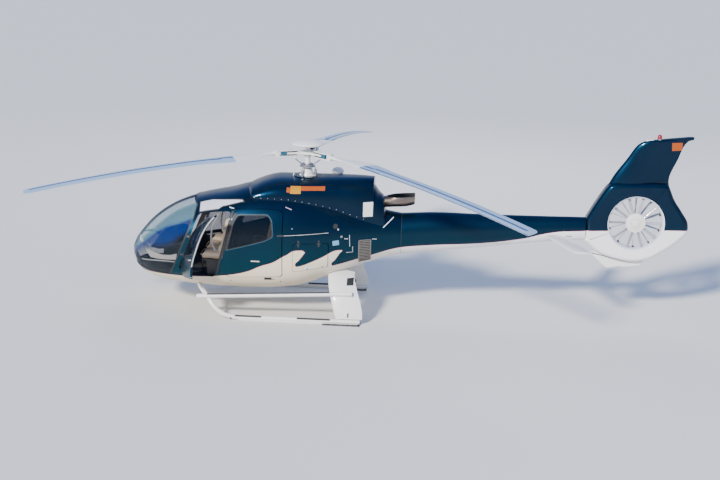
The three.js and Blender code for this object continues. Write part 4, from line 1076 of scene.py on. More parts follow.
def buildTail(data):
    centre, halfWidth, edge = data["centre"], data["halfWidth"], data["edge"]
    boomEnd = boomRows[-1]
    longBoom = [*boomRows[:-1], (boomEnd[0] - 1, *boomEnd[1:])]
    shroud = pillow(smoothOutline(data["shroud"]), halfWidth, edge, core=(centre[0], centre[2], 400))
    combined(shroud, finShape(), "UNION")
    cut(shroud, ductTool(data), boomShape(seatGap, longBoom))
    dressed(shroud, ("body", "duct"))
    middle = metres(*centre)
    limit = (data["ductRadius"] + data["lip"] + 1) / 1000
    reach = [math.hypot(v.co.x - middle.x, v.co.z - middle.z) for v in shroud.data.vertices]
    for face in shroud.data.polygons:
        if all(reach[k] < limit for k in face.vertices) and abs(face.center.y) * 1000 < halfWidth - 0.3:
            face.material_index = 1
    made("fin_and_shroud_skin", shroud, "airframe", "blue_paint", None, "fin_and_shroud", angle=40)

    ventral = pillow([Vector(p) for p in roundedOutline(data["ventral"], 60)], 32, 24, 5)
    cut(ventral, pillow(smoothOutline(data["shroud"]), halfWidth + seatGap, edge))
    made("ventral_fin_skin", ventral, "airframe", *white, "ventral_fin", angle=40)

    hub = spun(data["hub"], centre, "Y", 72)
    made("tail_fan_hub", hub, "tail_fan", *white, "tail_fan", angle=40)
    # The blades' grey is painted shade on white blades
    blades = [fanBlade(angle, data["fanBlade"], data["fanPlane"], 9) for angle in data["fanAngles"]]
    made("tail_fan_blades", joined(*blades), "tail_fan", "white_paint", "fanGrey", angle=40)
    x, _, z = centre
    blocks = [turnedAbout(bevelled(box(x + 474, x + 504, -46, -6, z - 19, z + 19), 4, 2), centre, (0, 1, 0),
                          -18 - 36 * k) for k in range(10)]
    made("vane_blocks", joined(*blocks), "airframe", *plastic)
    spots = [(x + 94 * math.cos(turn), z + 94 * math.sin(turn)) for turn in (math.tau * k / 12 for k in range(12))]
    bolts = [hexBolt((a, 112, b), (a, 122, b)) for a, b in spots]
    made("tail_fan_bolts", joined(*bolts), "tail_fan", *metal, angle=30)

    pod = spun(data["pod"], centre, "Y", 56)
    vanes = [fanBlade(18 + 36 * k, data["vane"], -76, 42 if k == 4 else 11) for k in range(10)]
    made("fan_stator_vanes", joined(pod, *vanes), "airframe", "white_paint", "fanGrey", "fan_stator", angle=40)

    height = data["stabilizerHeight"]
    half = foil([(nose, y, height, end, y, height, thick, 0, 0, 1)
                 for y, nose, end, thick in data["stabilizer"]], 5, 24)
    cut(half, boomShape(seatGap, longBoom))
    bothSides(half, "stabilizer_skin", fixed, *white, "stabilizer", 40)


buildTail(tail)
print("fin, shroud, fan and stabilizers")

exhaust = {
    # x, centre height, half height, half width
    "rows": ((-1430, 2160, 105, 110), (-1510, 2161, 108, 126), (-1600, 2185, 126, 160), (-1700, 2224, 155, 190),
             (-1800, 2250, 176, 200), (-1950, 2270, 180, 196), (-2100, 2296, 165, 178)),
    "wall": 7,
    "boreFrom": -1560,
    "mouth": ((-1400, 2260), (-2160, 2322), (-2160, 2600), (-1400, 2600)),
}


def buildExhaust(data):
    path = smoothRows([(*row, 0) for row in data["rows"]], 8)

    def shape(shrink, first, overrun):
        rings = []
        for k, (x, z, high, wide, _) in enumerate(path):
            if x < first:
                x -= overrun if k == len(path) - 1 else 0
                rings.append([(x, (wide - shrink) * math.cos(math.tau * j / 64),
                               z + (high - shrink) * math.sin(math.tau * j / 64)) for j in range(64)])
        return loft(rings)

    # The nozzle's inside is near black: soot and painted shade
    def inside(point, normal):
        x = point.x * 1000
        for a, b in zip(path, path[1:]):
            if a[0] >= x >= b[0]:
                middle = (a[1] + (b[1] - a[1]) * (x - a[0]) / (b[0] - a[0]) - groundToOrigin) / 1000
                return normal.y * point.y + normal.z * (point.z - middle) < 0
        return False

    nozzle = shape(0, 0, 0)
    cut(nozzle, shape(data["wall"], data["boreFrom"], 20), prism(data["mouth"], -300, 300))
    bevelled(nozzle, 1.2, 2, 50)
    cut(nozzle, hull(seatGap), cowlingShape(cowling["rows"], 8, 0, -seatGap),
        cowlingShape(cowling["rearRows"], 6, 0, -seatGap))
    repaint(dressed(nozzle, ("exhaust", "soot")), 1, inside)
    made("exhaust_nozzle_skin", nozzle, "airframe", "exhaust_metal", None, "exhaust_nozzle", angle=40)


buildExhaust(exhaust)
print("exhaust nozzle")

rotor = {
    "azimuths": (19.9, 139.9, 259.9),
    "hub": 3075,
    "plateGap": 44,
    "plate": 18,
    "rootEnd": 655,
    "tip": 5345,
    "chord": 350,
    "rootSlope": 0.048,
    "droop": 550,
    "rootPitch": 2.5,
    "twist": 3,
    "deck": 2606,
    "swash": 2800,
    # blade: radius, chord, thickness
    "blade": ((655.4, 118, 66), (760, 122, 58), (900, 230, 48), (1020, 350, 42), (2200, 350, 42), (3300, 350, 42),
              (4300, 350, 40), (5150, 350, 38), (5240, 348, 36), (5290, 335, 34), (5325, 300, 26), (5345, 250, 18)),
    "arm": ((60, -92), (300, -62), (425, -58), (425, 58), (300, 62), (60, 92)),
    "sleeve": ((215, -46), (330, -62), (560, -66), (655, -52), (655, 52), (560, 66), (330, 62), (215, 46)),
    "horn": ((235, 30), (295, 30), (285, 135), (245, 135)),
    "sleeveBolts": ((250, 22), (440, 34), (500, 34), (585, 30), (630, 30)),
    # star and domed cap: radius and height
    "star": ((0, 3049), (142, 3049), (150, 3055), (150, 3093), (144, 3099), (120, 3101), (0, 3101)),
    "cap": ((0, 3101.4), (70, 3101.4), (62, 3108), (44, 3128), (44, 3203), (52, 3207), (235, 3214), (285, 3224),
            (304, 3234), (308, 3242), (306, 3252), (300, 3260), (262, 3280), (220, 3294), (165, 3307), (110, 3315),
            (55, 3320), (0, 3322)),
}


def bladeRow(data, r, chord, thickness):
    span = data["tip"] - data["rootEnd"]
    share = (r - data["rootEnd"]) / span
    fall = data["rootSlope"] * span
    lift = -fall * share - (data["droop"] - fall) * share ** 2
    pitch = math.radians(data["rootPitch"] - data["twist"] * share) * (0.5 if r < 900 else 1)
    ahead = -0.5 if chord < 200 else -0.25 - 0.25 * max(0, (data["chord"] - chord) / data["chord"])
    height = data["hub"] + lift

    def place(part):
        return (r, part * chord * math.cos(pitch), height - part * chord * math.sin(pitch))

    return (*place(ahead), *place(ahead + 1), thickness, 0, math.sin(pitch), math.cos(pitch))


def radial(angle, r, side, z):
    turn = math.radians(angle)
    return (r * math.cos(turn) - side * math.sin(turn), r * math.sin(turn) + side * math.cos(turn), z)


def buildRotor(data):
    hub, gap, plate = data["hub"], data["plateGap"], data["plate"]
    origin, up = (0, 0, 0), (0, 0, 1)
    blade = foil([bladeRow(data, *row) for row in data["blade"]], 5, 16)
    shaded(blade, 45)

    def along(point, low, high):
        return low < point.y * 1000 / data["chord"] + 0.25 < high

    dressed(blade, ("blade", "white", "bladeDark", "bladeEdge"))
    repaint(blade, 1, lambda p, n: p.x < 1.4)
    repaint(blade, 2, lambda p, n: 1.4 < p.x < 5.24 and n.z > 0.3 and along(p, 0.3, 0.52))
    repaint(blade, 3, lambda p, n: 1.4 < p.x and along(p, -0.5, 0.06))

    # The parts of one arm lie along x, and are turned to each blade's place
    parts = [bevelled(prism(roundedOutline(data["sleeve"], 16), low, low + plate, "Z"), 4, 3)
             for low in (hub + gap, hub - gap - plate)]
    parts.append(bevelled(box(560, 654.6, -50, 50, hub - gap - 1, hub + gap + 1), 8, 3))
    parts.append(bevelled(prism(roundedOutline(data["horn"], 10), hub - 76, hub - 60, "Z"), 3, 2))
    top = hub + gap + plate
    for x, y in data["sleeveBolts"]:
        parts += [hexBolt((x, side, top - 1), (x, side, top + 9), 10) for side in (-y, y)]
    sleeve = shaded(joined(*parts), 30)
    parts = [bevelled(box(405, 520, -54, 54, hub - gap + seatGap, hub + gap - seatGap), 14, 4)]
    parts += [bevelled(box(401, 524, -57, 57, hub + z, hub + z + 7), 3, 2) for z in (-24, -4, 16)]
    damper = shaded(joined(*parts), 35)
    arm = shaded(bevelled(prism(roundedOutline(data["arm"], 20), hub - 20, hub + 20, "Z"), 7, 3), 35)
    parts = [bevelled(box(222, 392, -50, 50, hub + z, hub + z + 21), 5, 3) for z in (22, -43)]
    bearing = shaded(joined(*parts), 35)
    arms = []
    for letter, azimuth in zip("abc", data["azimuths"]):
        for piece, name, slot, key, node in ((blade, "blade_skin", "blade_grey", None, "rotor_blade"),
                                             (sleeve, "sleeve_plates", *white, "blade_sleeve"),
                                             (damper, "damper", "black_plastic", "damper", None),
                                             (bearing, "blade_bearing", *seal, None)):
            turned = turnedAbout(copied(piece, f"{name}_{letter}"), origin, up, azimuth)
            placed(turned, "main_rotor", slot, key, (f"{node}_{letter}",) if node else ())
        arms.append(turnedAbout(copied(arm), origin, up, azimuth))
    for piece in (blade, sleeve, damper, arm, bearing):
        bpy.data.objects.remove(piece)
    star = joined(spun(data["star"], origin, "Z", 64), *arms)
    made("rotor_star", star, "main_rotor", *white, "rotor_hub", angle=35)
    cap = spun(data["cap"], origin, "Z", 80)
    made("rotor_head_dome", cap, "main_rotor", *white, "rotor_head_cap", angle=40)

    deck, swash = data["deck"], data["swash"]
    housing = spun(((0, deck + seatGap), (262, deck + seatGap), (261.6, deck + 21), (256, deck + 27),
                    (160, deck + 29), (140, deck + 33), (126, deck + 50), (107, 2716), (94, 2754),
                    (90, 2766), (84, 2770), (57, 2770), (57, deck + 13), (0, deck + 13)), origin, "Z", 64)
    repaint(dressed(housing, ("white", "body")), 1, lambda p, n: math.hypot(p.x, p.y) > 0.16)
    made("mast_housing_turned", housing, "airframe", "white_paint", None, "mast_housing", angle=35)
    parts = [spun(((74, swash), (146, swash), (150, swash + 4), (150, swash + 20), (146, swash + 24),
                   (74, swash + 24), (74, swash)), origin, "Z", 56)]
    for angle in (60, 180, 300):
        parts.append(rod(radial(angle, 165, 0, deck + 20), radial(angle, 160, 0, 2735), 24, 24, None, 4))
        parts.append(rod(radial(angle, 160, 0, 2730), radial(angle, 140, 0, swash + 10), 12, 20))
        parts.append(hexBolt(radial(angle, 161, 0, 2733), radial(angle, 159, 0, 2744), 30, 3))
    for k in range(16):
        parts.append(hexBolt(radial(22.5 * k, 238, 0, deck + 25), radial(22.5 * k, 238, 0, deck + 37)))
    made("mast_servos", joined(*parts), "airframe", *metal, angle=35)
    mast = spun(((0, deck + 13.4), (55, deck + 13.4), (55, 2985), (62, 3000), (110, 3029), (110, 3048.6),
                 (0, 3048.6)), origin, "Z", 56)
    made("rotor_mast_turned", mast, "main_rotor", *white, "rotor_mast", angle=35)
    top = swash + 24.4
    parts = [spun(((0, top), (128, top), (132, top + 4), (132, top + 20), (126, top + 25),
                   (92, top + 40), (0, top + 40)), origin, "Z", 56)]
    linkTop = hub - 76.4
    for azimuth in data["azimuths"]:
        foot = Vector(radial(azimuth, 85, 75, top + 12))
        head = Vector(radial(azimuth, 265, 118, linkTop - 24))
        parts.append(rod(foot, head, 10, 20))
        parts.append(rod(head - Vector((0, 0, 12)), head + Vector((0, 0, 24)), 11, 20, None, 3))
        parts.append(hexBolt(foot.lerp(head, 0.34), foot.lerp(head, 0.5), 14, 2))
    made("pitch_links", joined(*parts), "main_rotor", *metal, angle=35)


buildRotor(rotor)
print("rotor head and blades")

gear = {
    "leg": ((2035, 470, 470), (2000, 620, 497), (1925, 780, 470), (1800, 960, 395), (1660, 1080, 250),
            (1500, 1122, 125), (1320, 1130, 62), (1150, 1130, 50)),
    "radius": 42,
    "track": 1130,
    "skidRear": -1150,
    "skidHeight": 50,
    "shoeHalf": 28,
    # rear fairing: y, z, nose x, tail x, thickness
    "fairing": ((430, 830, -480, -1000, 120), (680, 775, -500, -1010, 112), (900, 600, -540, -1075, 100),
                (1040, 400, -600, -1150, 92), (1105, 230, -650, -1190, 88), (1128, 105, -690, -1195, 88)),
    "stepFrom": (1990, 1012, 398),
    "stepTo": (-985, 1012, 572),
    "stepRadius": 44,
    "padHalf": 120,
    "padSpan": (-1160, -440),
    "padThickness": 7,
    # anti-slip strips on the skid and on the step, from x to x
    "skidGrip": ((1321, 725), (48, -587)),
    "stepGrip": (1790, -560),
    "cross": ((-760, -640, 760), (-760, -380, 712), (-760, 0, 700), (-760, 380, 712), (-760, 640, 760)),
}


def fairingSkin(data, grow=0):
    rows = []
    stations = data["fairing"]
    for k, (y, z, nose, tailX, thickness) in enumerate(stations):
        before, after = stations[max(0, k - 1)], stations[min(len(stations) - 1, k + 1)]
        along = Vector((after[0] - before[0], after[1] - before[1])).normalized()
        rise = -grow if k == len(stations) - 1 else 0
        rows.append((nose + 2 * grow, y, z + rise, tailX - 2 * grow, y, z + rise, thickness + 2.2 * grow, 0, -along.y,
                     along.x))
    return foil(rows, 6, 24)


# Keep only the largest loose part of a piece
def largestPart(piece):
    alone(piece)
    bpy.ops.object.mode_set(mode="EDIT")
    bpy.ops.mesh.select_all(action="SELECT")
    bpy.ops.mesh.separate(type="LOOSE")
    bpy.ops.object.mode_set(mode="OBJECT")
    parts = sorted(bpy.context.selected_objects, key=lambda p: len(p.data.vertices))
    for part in parts[:-1]:
        bpy.data.objects.remove(part)
    return alone(parts[-1])


def buildGear(data):
    radius, track, height = data["radius"], data["track"], data["skidHeight"]
    path = [*data["leg"], (600, track, height), (0, track, height), (-600, track, height),
            (data["skidRear"], track, height)]
    skid = tube(path, radius, 14, 8)
    shoe = bevelled(box(-1110, 1180, track - data["shoeHalf"], track + data["shoeHalf"], 0, 22), 3, 2)
    plug = rod((data["skidRear"] - 0.5, track, height), (data["skidRear"] + 10, track, height), radius + 3, 40,
               None, 2.5)
    cut(skid, hull(seatGap))
    bothSides(joined(skid, shoe, plug), "skid_tube", fixed, *white, "skid", 40)

    fairing = fairingSkin(data)
    cut(fairing, rod((1160, track, height), (-1300, track, height), radius + seatGap, 40))
    cross = tube(data["cross"], 34, 12, 8)
    posts = [bevelled(box(-800, -720, y - 40, y + 40, 700, 900), 5, 2) for y in (-290, 290)]
    legs = joined(fairing, mirrored(fairing), cross, *posts)
    cut(legs, hull(seatGap), solver="EXACT")
    made("rear_leg_skins", legs, "airframe", *white, "rear_legs", angle=40)

    step = rod(data["stepFrom"], data["stepTo"], data["stepRadius"], 40)
    cut(step, tube(data["leg"], radius + seatGap, 14, 8), fairingSkin(data, seatGap))
    bothSides(largestPart(step), "step_bar", fixed, *white, "step", 40)

    x0, x1 = data["padSpan"]
    half, slot = data["padHalf"], data["shoeHalf"] + seatGap
    pad = bevelled(box(x0, x1, track - half, track + half, 0, data["padThickness"]), 2.5, 2)
    cut(pad, box(-1111, 1180, track - slot, track + slot, -10, 60))
    bothSides(pad, "ground_pad_skin", fixed, "rubber", "plastic", "ground_pad", 35)

    strips = []
    for start, end in data["skidGrip"]:
        strip = rod((start, track, height), (end, track, height), radius + 1.6, 40)
        strips.append(cut(strip, box(-1300, 1300, track - 80, track + 80, -40, height + 20)))
    a, b = Vector(data["stepFrom"]), Vector(data["stepTo"])
    p, q = (a.lerp(b, (a.x - x) / (a.x - b.x)) for x in data["stepGrip"])
    strip = rod(p, q, data["stepRadius"] + 1.6, 40)
    strips.append(cut(strip, rod(p - Vector((-5, 0, 26)), q - Vector((5, 0, 26)), data["stepRadius"] + 22, 40)))
    bothSides(joined(*strips), "grip_strips", fixed, "rubber", "grip", None, 40)


buildGear(gear)
print("landing gear")

# Seats: x from the backrest's foot, heights above the cabin floor
seats = {
    "floor": 740.4,
    "front": {"x": 1440, "places": (("left", 560), ("centre", 0), ("right", -560)), "width": 426, "lapShare": 1},
    "rear": {"x": 585, "places": ((1, -600), (2, -200), (3, 200), (4, 600)), "width": 356, "lapShare": 0.83},
    # pad: middle x and z, length, thickness, lean in degrees, and its sewn channels in metres
    "seat": (312, 380, 400, 80, -3, (-0.09, 0.02, 0.13)),
    "back": (46, 752, 800, 84, -12.3, (-0.28, -0.15, -0.02, 0.11, 0.25)),
    "sideSeam": 0.135,
    "padRoom": 14,
    # buckle: x from and to, half width, height from and to
    "buckle": (234, 298, 32, 446, 462),
    # belts: x, y from the seat's middle, and height above the floor
    "shoulderBelt": ((-122, 58, 1120), (-74, 60, 1178), (-22, 62, 1130), (56, 66, 972), (118, 70, 717), (170, 60, 500),
                     (214, 36, 446), (262, 14, 446)),
    "lapBelt": ((70, 232, 320), (106, 222, 410), (180, 150, 446), (262, 30, 449)),
    # a shoulder belt that hangs in front of each outer front seat: x, y and height above the ground
    "hangingBelt": ((1580, 690, 2020), (1650, 655, 1878), (1736, 625, 1708), (1781, 604, 1462), (1752, 590, 1300),
                    (1700, 580, 1196)),
    "voxel": 0.008,
    "pressure": 4.0,
    "cap": 0.024,
    "channelDepth": 0.007,
    "channelWidth": 0.009,
    "strapWidth": 46,
}


# Blow a pad up as cloth under pressure; no point moves further than the cap
def swollen(piece, data):
    modified(piece, "REMESH", mode="VOXEL", voxel_size=data["voxel"])
    rest = [v.co.copy() for v in piece.data.vertices]
    cloth = piece.modifiers.new("cloth", "CLOTH")
    cloth.settings.use_pressure = True
    cloth.settings.uniform_pressure_force = data["pressure"]
    cloth.settings.effector_weights.gravity = 0
    for frameNumber in range(1, 21):
        bpy.context.scene.frame_set(frameNumber)
    alone(piece)
    bpy.ops.object.modifier_apply(modifier="cloth")
    bpy.context.scene.frame_set(1)
    for v, start in zip(piece.data.vertices, rest):
        move = v.co - start
        v.co = start + move * min(1, data["cap"] / max(move.length, 1e-6))
    return piece


# A pad lying flat round the origin: length along x, width along y, seams sewn into its upper side
def pad(length, width, thickness, crossSeams, sideSeam, data):
    half = Vector((length, width, thickness)) / 2000
    bpy.ops.mesh.primitive_cube_add(size=2)
    piece = bpy.context.object
    piece.scale = half
    settle(piece)
    bevelled(piece, thickness * 0.36, 5)
    swollen(piece, data)
    depth, spread = data["channelDepth"], data["channelWidth"]
    for v in piece.data.vertices:
        if v.co.z > 0:
            near = abs(abs(v.co.y) - sideSeam)
            if abs(v.co.y) < sideSeam:
                near = min([near] + [abs(v.co.x - x) for x in crossSeams])
            v.co.z -= depth * math.exp(-(near / spread) ** 2) * min(1, v.co.z / 0.02)
    return piece


def pipedEdge(length, width, thickness):
    a, b, r = length / 2 + 6, width / 2 + 6, 34
    z = thickness / 2 - 14 + groundToOrigin
    points = []
    for sx, sy in ((1, 1), (-1, 1), (-1, -1), (1, -1)):
        corner = [(sx * a, sy * (b - r), z), (sx * (a - 0.3 * r), sy * (b - 0.3 * r), z), (sx * (a - r), sy * b, z)]
        points += corner if sx * sy > 0 else corner[::-1]
    return tube(points, 4, 6, 3, True, False)


def ribbon(points, width, thickness, across):
    knots = smoothRows([(*p, 0, 0) for p in points], 6)
    knots = [Vector(k[:3]) for k in knots]
    side = Vector(across).normalized() * width / 2
    rings = []
    for k, knot in enumerate(knots):
        along = (knots[min(k + 1, len(knots) - 1)] - knots[max(k - 1, 0)]).normalized()
        up = along.cross(side).normalized() * thickness / 2
        rings.append([tuple(knot + side + up), tuple(knot - side + up), tuple(knot - side - up),
                      tuple(knot + side - up)])
    return loft(rings)


def buildSeats(data):
    floor, fullWidth = data["floor"], data["front"]["width"]
    padWidth = fullWidth - data["padRoom"]
    models = {}
    for kind in ("seat", "back"):
        _, _, length, thickness, _, seams = data[kind]
        body = pad(length, padWidth, thickness, seams, data["sideSeam"], data)
        models[kind] = joined(body, pipedEdge(length, padWidth, thickness))
        shaded(models[kind], 60, False)
    x0, x1, half, z0, z1 = data["buckle"]
    for row in ("front", "rear"):
        rowX, places, width, lapShare = data[row].values()
        narrowed = Matrix.Scale(width / fullWidth, 4, (0, 1, 0))
        straps, buckles = [], []
        for label, y in places:
            for kind, model in models.items():
                x, z, _, _, lean, _ = data[kind]
                turn = Matrix.Rotation(math.radians(lean), 4, "Y")
                if kind == "back":
                    turn = turn @ Matrix.Rotation(math.pi, 4, "Z") @ Matrix.Rotation(-math.pi / 2, 4, "Y")
                piece = copied(model, f"{row}_cushion_{label}_{kind}_pad")
                piece.data.transform(Matrix.Translation(metres(rowX + x, y, floor + z)) @ turn @ narrowed)
                placed(piece, "airframe", "beige_leather", "leather", (f"{row}_cushion_{label}",))
            for side in (-1, 1):
                for key, across, share in (("shoulderBelt", (0, 1, 0), 1), ("lapBelt", (0.9, 0, 0.3), lapShare)):
                    path = [(rowX + a, y + side * b * share, floor + c) for a, b, c in data[key]]
                    straps.append(ribbon(path, data["strapWidth"], 3, across))
            buckle = box(rowX + x0, rowX + x1, y - half, y + half, floor + z0, floor + z1)
            buckles.append(bevelled(buckle, 5, 3))
        if row == "front":
            for side in (-1, 1):
                path = [(x, y * side, z) for x, y, z in data["hangingBelt"]]
                straps.append(ribbon(path, data["strapWidth"], 3, (0.5, 0.8, 0)))
        made(f"{row}_seat_straps", joined(*straps), "airframe", "white_paint", "webbing", angle=50,
             weighted=False)
        made(f"{row}_seat_buckles", joined(*buckles), "airframe", *metal, angle=35)
    for model in models.values():
        bpy.data.objects.remove(model)


buildSeats(seats)
print("seats and straps")

cockpit = {
    # hood and pedestal: side outline, its corner radius, half width, width and segments of the bevel
    "console": ((((2430, 1330), (2480, 1180), (2840, 1130), (3010, 1170), (2860, 1330), (2560, 1440), (2400, 1430)),
                 40, 420, 22, 4),
                (((2250, 740.4), (2820, 740.4), (2800, 1180), (2520, 1220), (2300, 960)), 18, 130, 10, 3)),
    # screen: y, height above the ground, half width, half height
    "screens": ((-250, 1310, 92, 72), (-45, 1310, 92, 72), (160, 1310, 78, 72)),
    "dials": ((300, 1345), (300, 1265), (370, 1345), (370, 1265)),
    "dial": ((31, -4), (31, 12), (28, 15), (25, 12), (25, 6), (0, 6)),
    "boot": ((60, 0), (52, 12), (30, 40), (16, 60), (14, 62), (0, 62)),
    "floorPlate": (1970, 2560, 255, 640),
    "stick": ((2180, 540, 745.4), (2172, 540, 930), (2092, 540, 1120), (2072, 540, 1320)),
    "lever": ((2010, 280, 745.4), (1996, 280, 890), (1870, 280, 1030), (1710, 280, 1130)),
    # grips: from, to, radius at each end
    "grips": (((2082, 540, 1215), (2070, 540, 1330), 19, 21), ((1806, 280, 1072), (1706, 280, 1133), 18, 20)),
    "pedals": (477, 592),
}


def buildCockpit(data):
    parts = [bevelled(prism(roundedOutline(outline, corner), -half, half), width, segments, 50)
             for outline, corner, half, width, segments in data["console"]]
    made("instrument_console", joined(*parts), "airframe", *plastic, "instrument_panel", angle=35)

    # The panel's face leans: how far aft it stands at a height
    def faceAt(z):
        return 2430 + 50 * (1330 - z) / 150 if z < 1330 else 2430 - 30 * (z - 1330) / 100

    bezels, glass, knobs = [], [], []
    for y, z, halfY, halfZ in data["screens"]:
        x = faceAt(z)
        bezel = box(x - 14, x + 10, y - halfY - 12, y + halfY + 12, z - halfZ - 12, z + halfZ + 12)
        cut(bezel, box(x - 30, x - 6, y - halfY, y + halfY, z - halfZ, z + halfZ))
        bezels.append(bevelled(bezel, 3, 2))
        glass.append(box(x - 10, x - 5, y - halfY, y + halfY, z - halfZ, z + halfZ))
        for k in range(5):
            spot = y - halfY + 2 * halfY * (k + 0.5) / 5
            knobs.append(rod((x - 22, spot, z - halfZ - 6), (x - 10, spot, z - halfZ - 6), 5, 16, None, 1))
    bezels += [spun(data["dial"], (faceAt(z), y, z), "X", 32) for y, z in data["dials"]]
    for k in range(20):
        x, y = 2345 + k // 5 * 40, -90 + k % 5 * 45
        z = 960 + (x - 2300) * 260 / 220
        knobs.append(rod((x, y, z), (x - 12, y, z + 10), 7, 16, None, 1.5))
    made("panel_bezels", joined(*bezels), "airframe", "black_plastic", "darkMetal", angle=35)
    made("panel_screens", bevelled(joined(*glass), 1, 2), "airframe", "glass", "screen", angle=35)
    made("console_knobs", joined(*knobs), "airframe", *plastic, angle=35)

    floor = seats["floor"]
    footX, footY, _ = data["stick"][0]
    parts = [bevelled(box(*data["floorPlate"], floor, floor + 11.6), 3, 2), tube(data["stick"], 13, 10, 5),
             spun(data["boot"], (footX, footY, floor + 10), "Z", 32), tube(data["lever"], 12, 10, 5)]
    parts += [rod(start, end, radius, 24, endRadius, 6) for start, end, radius, endRadius in data["grips"]]
    for y in data["pedals"]:
        parts += [bevelled(box(2506, 2522, y - 36, y + 36, floor + 80, 915), 4, 3),
                  rod((2514, y, floor + 8), (2514, y, floor + 90), 9, 16)]
        parts += [bevelled(box(2499, 2508, y - 30, y + 30, z - 4, z + 4), 1.5, 2) for z in (850, 870, 890)]
    made("pilot_controls_set", joined(*parts), "airframe", *plastic, "pilot_controls", angle=35)


buildCockpit(cockpit)
print("cockpit")

# Trims, seals, marks and fittings that follow the skin: x and height above the ground
details = {
    "postTrim": ((1640, 800), (1571, 1140), (1521, 1320), (1441, 1640), (1381, 1910), (1352, 2040), (1296, 2070),
                 (1336, 1910), (1396, 1640), (1476, 1320), (1526, 1140), (1583, 900)),
    "doorTrim": ((1458, 1330), (1381, 1640), (1321, 1910), (1288, 2030), (1224, 2006), (1304, 1850), (1347, 1640),
                 (1427, 1335)),
    "rail": ((330, 1655), (-500, 1700)),
    "arm": ((462, 1648), (331, 1655)),
    "doorEdge": ((1674, 800), (1583, 1140), (1533, 1320), (1453, 1640), (1394, 1900), (1379, 1990)),
    "innerHandle": ((2120, 1112), (1850, 1146)),
    "frontHandle": ((1790, 1105), (1640, 1122)),
    "rearHandle": ((950, 1140), (790, 1140)),
    "windshieldFrame": ((3260, 1345), (3096, 1292), (3028, 1230), (2927, 1159), (2784, 1134), (2675, 1123),
                        (2520, 1140), (2400, 1180), (2420, 1062), (2555, 1049), (2739, 1031), (2946, 1036),
                        (3043, 1142), (3117, 1220), (3260, 1315)),
    "chinFrame": ((3160, 945), (3083, 955), (2868, 985), (2602, 1008), (2450, 1012)),
    # material, then outlines or lines with a width, on both sides of the cabin and fuselage
    "marks": (
        ("seal", (((707, 776), (563, 779)), 52)),
        ("paleMark", (((-890, 1642), (-900, 1416)), 8), (((-794, 1573), (-863, 1569)), 10),
         (((-954, 1413), (-956, 1299), (-835, 1298)), 7), (((-1314, 1533), (-1401, 1528)), 9),
         (((-1516, 1738), (-1706, 1908)), 16), (((1400, 2112), (1306, 2098)), 13)),
        ("purple", (((331, 2158), (212, 2116)), 15)),
        ("skyMark", (((-633, 1544), (-643, 1454)), 118)),
    ),
    # material, x, height, radius, how far it stands out
    "buttons": (("seal", 534, 765, 14, 1.2), ("seal", 399, 709, 14, 1.2), ("seal", -622, 1812, 46, 1.2),
                ("paleMark", -676, 1752, 15, 3), ("metal", -741, 1615, 22, 2.5), ("metal", 182, 1784, 14, 2.5),
                ("metal", 1350, 700, 16, 2), ("metal", -1180, 1010, 16, 2)),
    "latches": ((-110, 992), (-390, 1025)),
    "latchPlate": ((-62, 1010), (-188, 1006)),
    # thin plates on the cowling: name, material, outline
    "panels": (("yellow_stripe", "yellow", ((262, 2392), (62, 2392), (62, 2522), (262, 2522))),
               ("orange_stripe", "orange", ((58, 2450), (-392, 2450), (-392, 2522), (58, 2522))),
               ("orange_stripe", "orange", ((330, 2418), (266, 2412), (266, 2494), (330, 2500))),
               ("blank_plate", "white", ((-1126, 1956), (-1126, 2236), (-1394, 2246), (-1394, 1966)))),
    "cowlFasteners": (940, 130, 17),      # first x, distance apart, number
    "boomSlot": ((-4932, 1655), (-5147, 1655)),
    "finPatch": ((-6911, 3529), (-7113, 3536), (-7118, 3383), (-6924, 3376)),
    "finSeam": ((-5935, 2689), (-6366, 2734), (-6891, 2763)),
    "finPlate": ((-6500, 3553), (-6685, 3581), (-7241, 3648), (-7320, 3650), (-7316, 3600), (-7209, 3572),
                 (-6500, 3530)),
    "beacon": (-6681, 0, 3572),
    "tailLight": (-6500, 0, 3546),
    "antenna": (261, 0, 2594),
    "dome": (-574, -290, 2596),
    # turned fittings: name, place, slot, material, steps, shading angle, then radius and height
    "turned": (
        ("beacon_base", "beacon", *metal, 40, 32, ((0, 0), (50, 0), (50, 14), (46, 20), (0, 20))),
        ("beacon_lens", "beacon", "glass", "redLens", 40, 50,
         ((0, 20.4), (43, 20.4), (43, 58), (38, 80), (26, 95), (10, 101), (0, 102))),
        ("whip_antenna", "antenna", "white_paint", "paleMark", 24, 50,
         ((0, 0), (34, 0), (34, 14), (20, 24), (13, 40), (11, 70), (9, 256), (0, 260))),
        ("dome_foot", "dome", *plastic, 40, 50, ((0, 0), (96, 0), (96, 36), (88, 44), (0, 44))),
        ("antenna_dome", "dome", *white, 48, 50,
         ((0, 44.4), (118, 44.4), (120, 60), (112, 92), (90, 122), (54, 142), (18, 149), (0, 150))),
    ),
    "fairingPlate": (-1000, -868, 688, 795),
    "fairingSlot": (-941, -911, 148, 228),
    "padBolts": ((-1120, -105), (-1120, 105), (-980, -105), (-980, 105), (-800, -105), (-800, 105), (-620, -105),
                 (-620, 105), (-480, -105), (-480, 105)),
}


def band(points, width):
    left, right = [], []
    for k, point in enumerate(points):
        along = (Vector(points[min(k + 1, len(points) - 1)]) - Vector(points[max(k - 1, 0)])).normalized()
        side = Vector((-along.y, along.x)) * width / 2
        left.append(tuple(Vector(point) + side))
        right.append(tuple(Vector(point) - side))
    return left + right[::-1]


def disc(x, z, radius, sides=24):
    turns = [math.tau * k / sides for k in range(sides)]
    return [(x + radius * math.cos(turn), z + radius * math.sin(turn)) for turn in turns]


# The part of a skin layer that lies behind the outlines, seen from the side
def laid(skin, outlines, low=150, high=pastSkin):
    return common(skin, joined(*(sidePrism(outline, 0, low, high) for outline in outlines)))


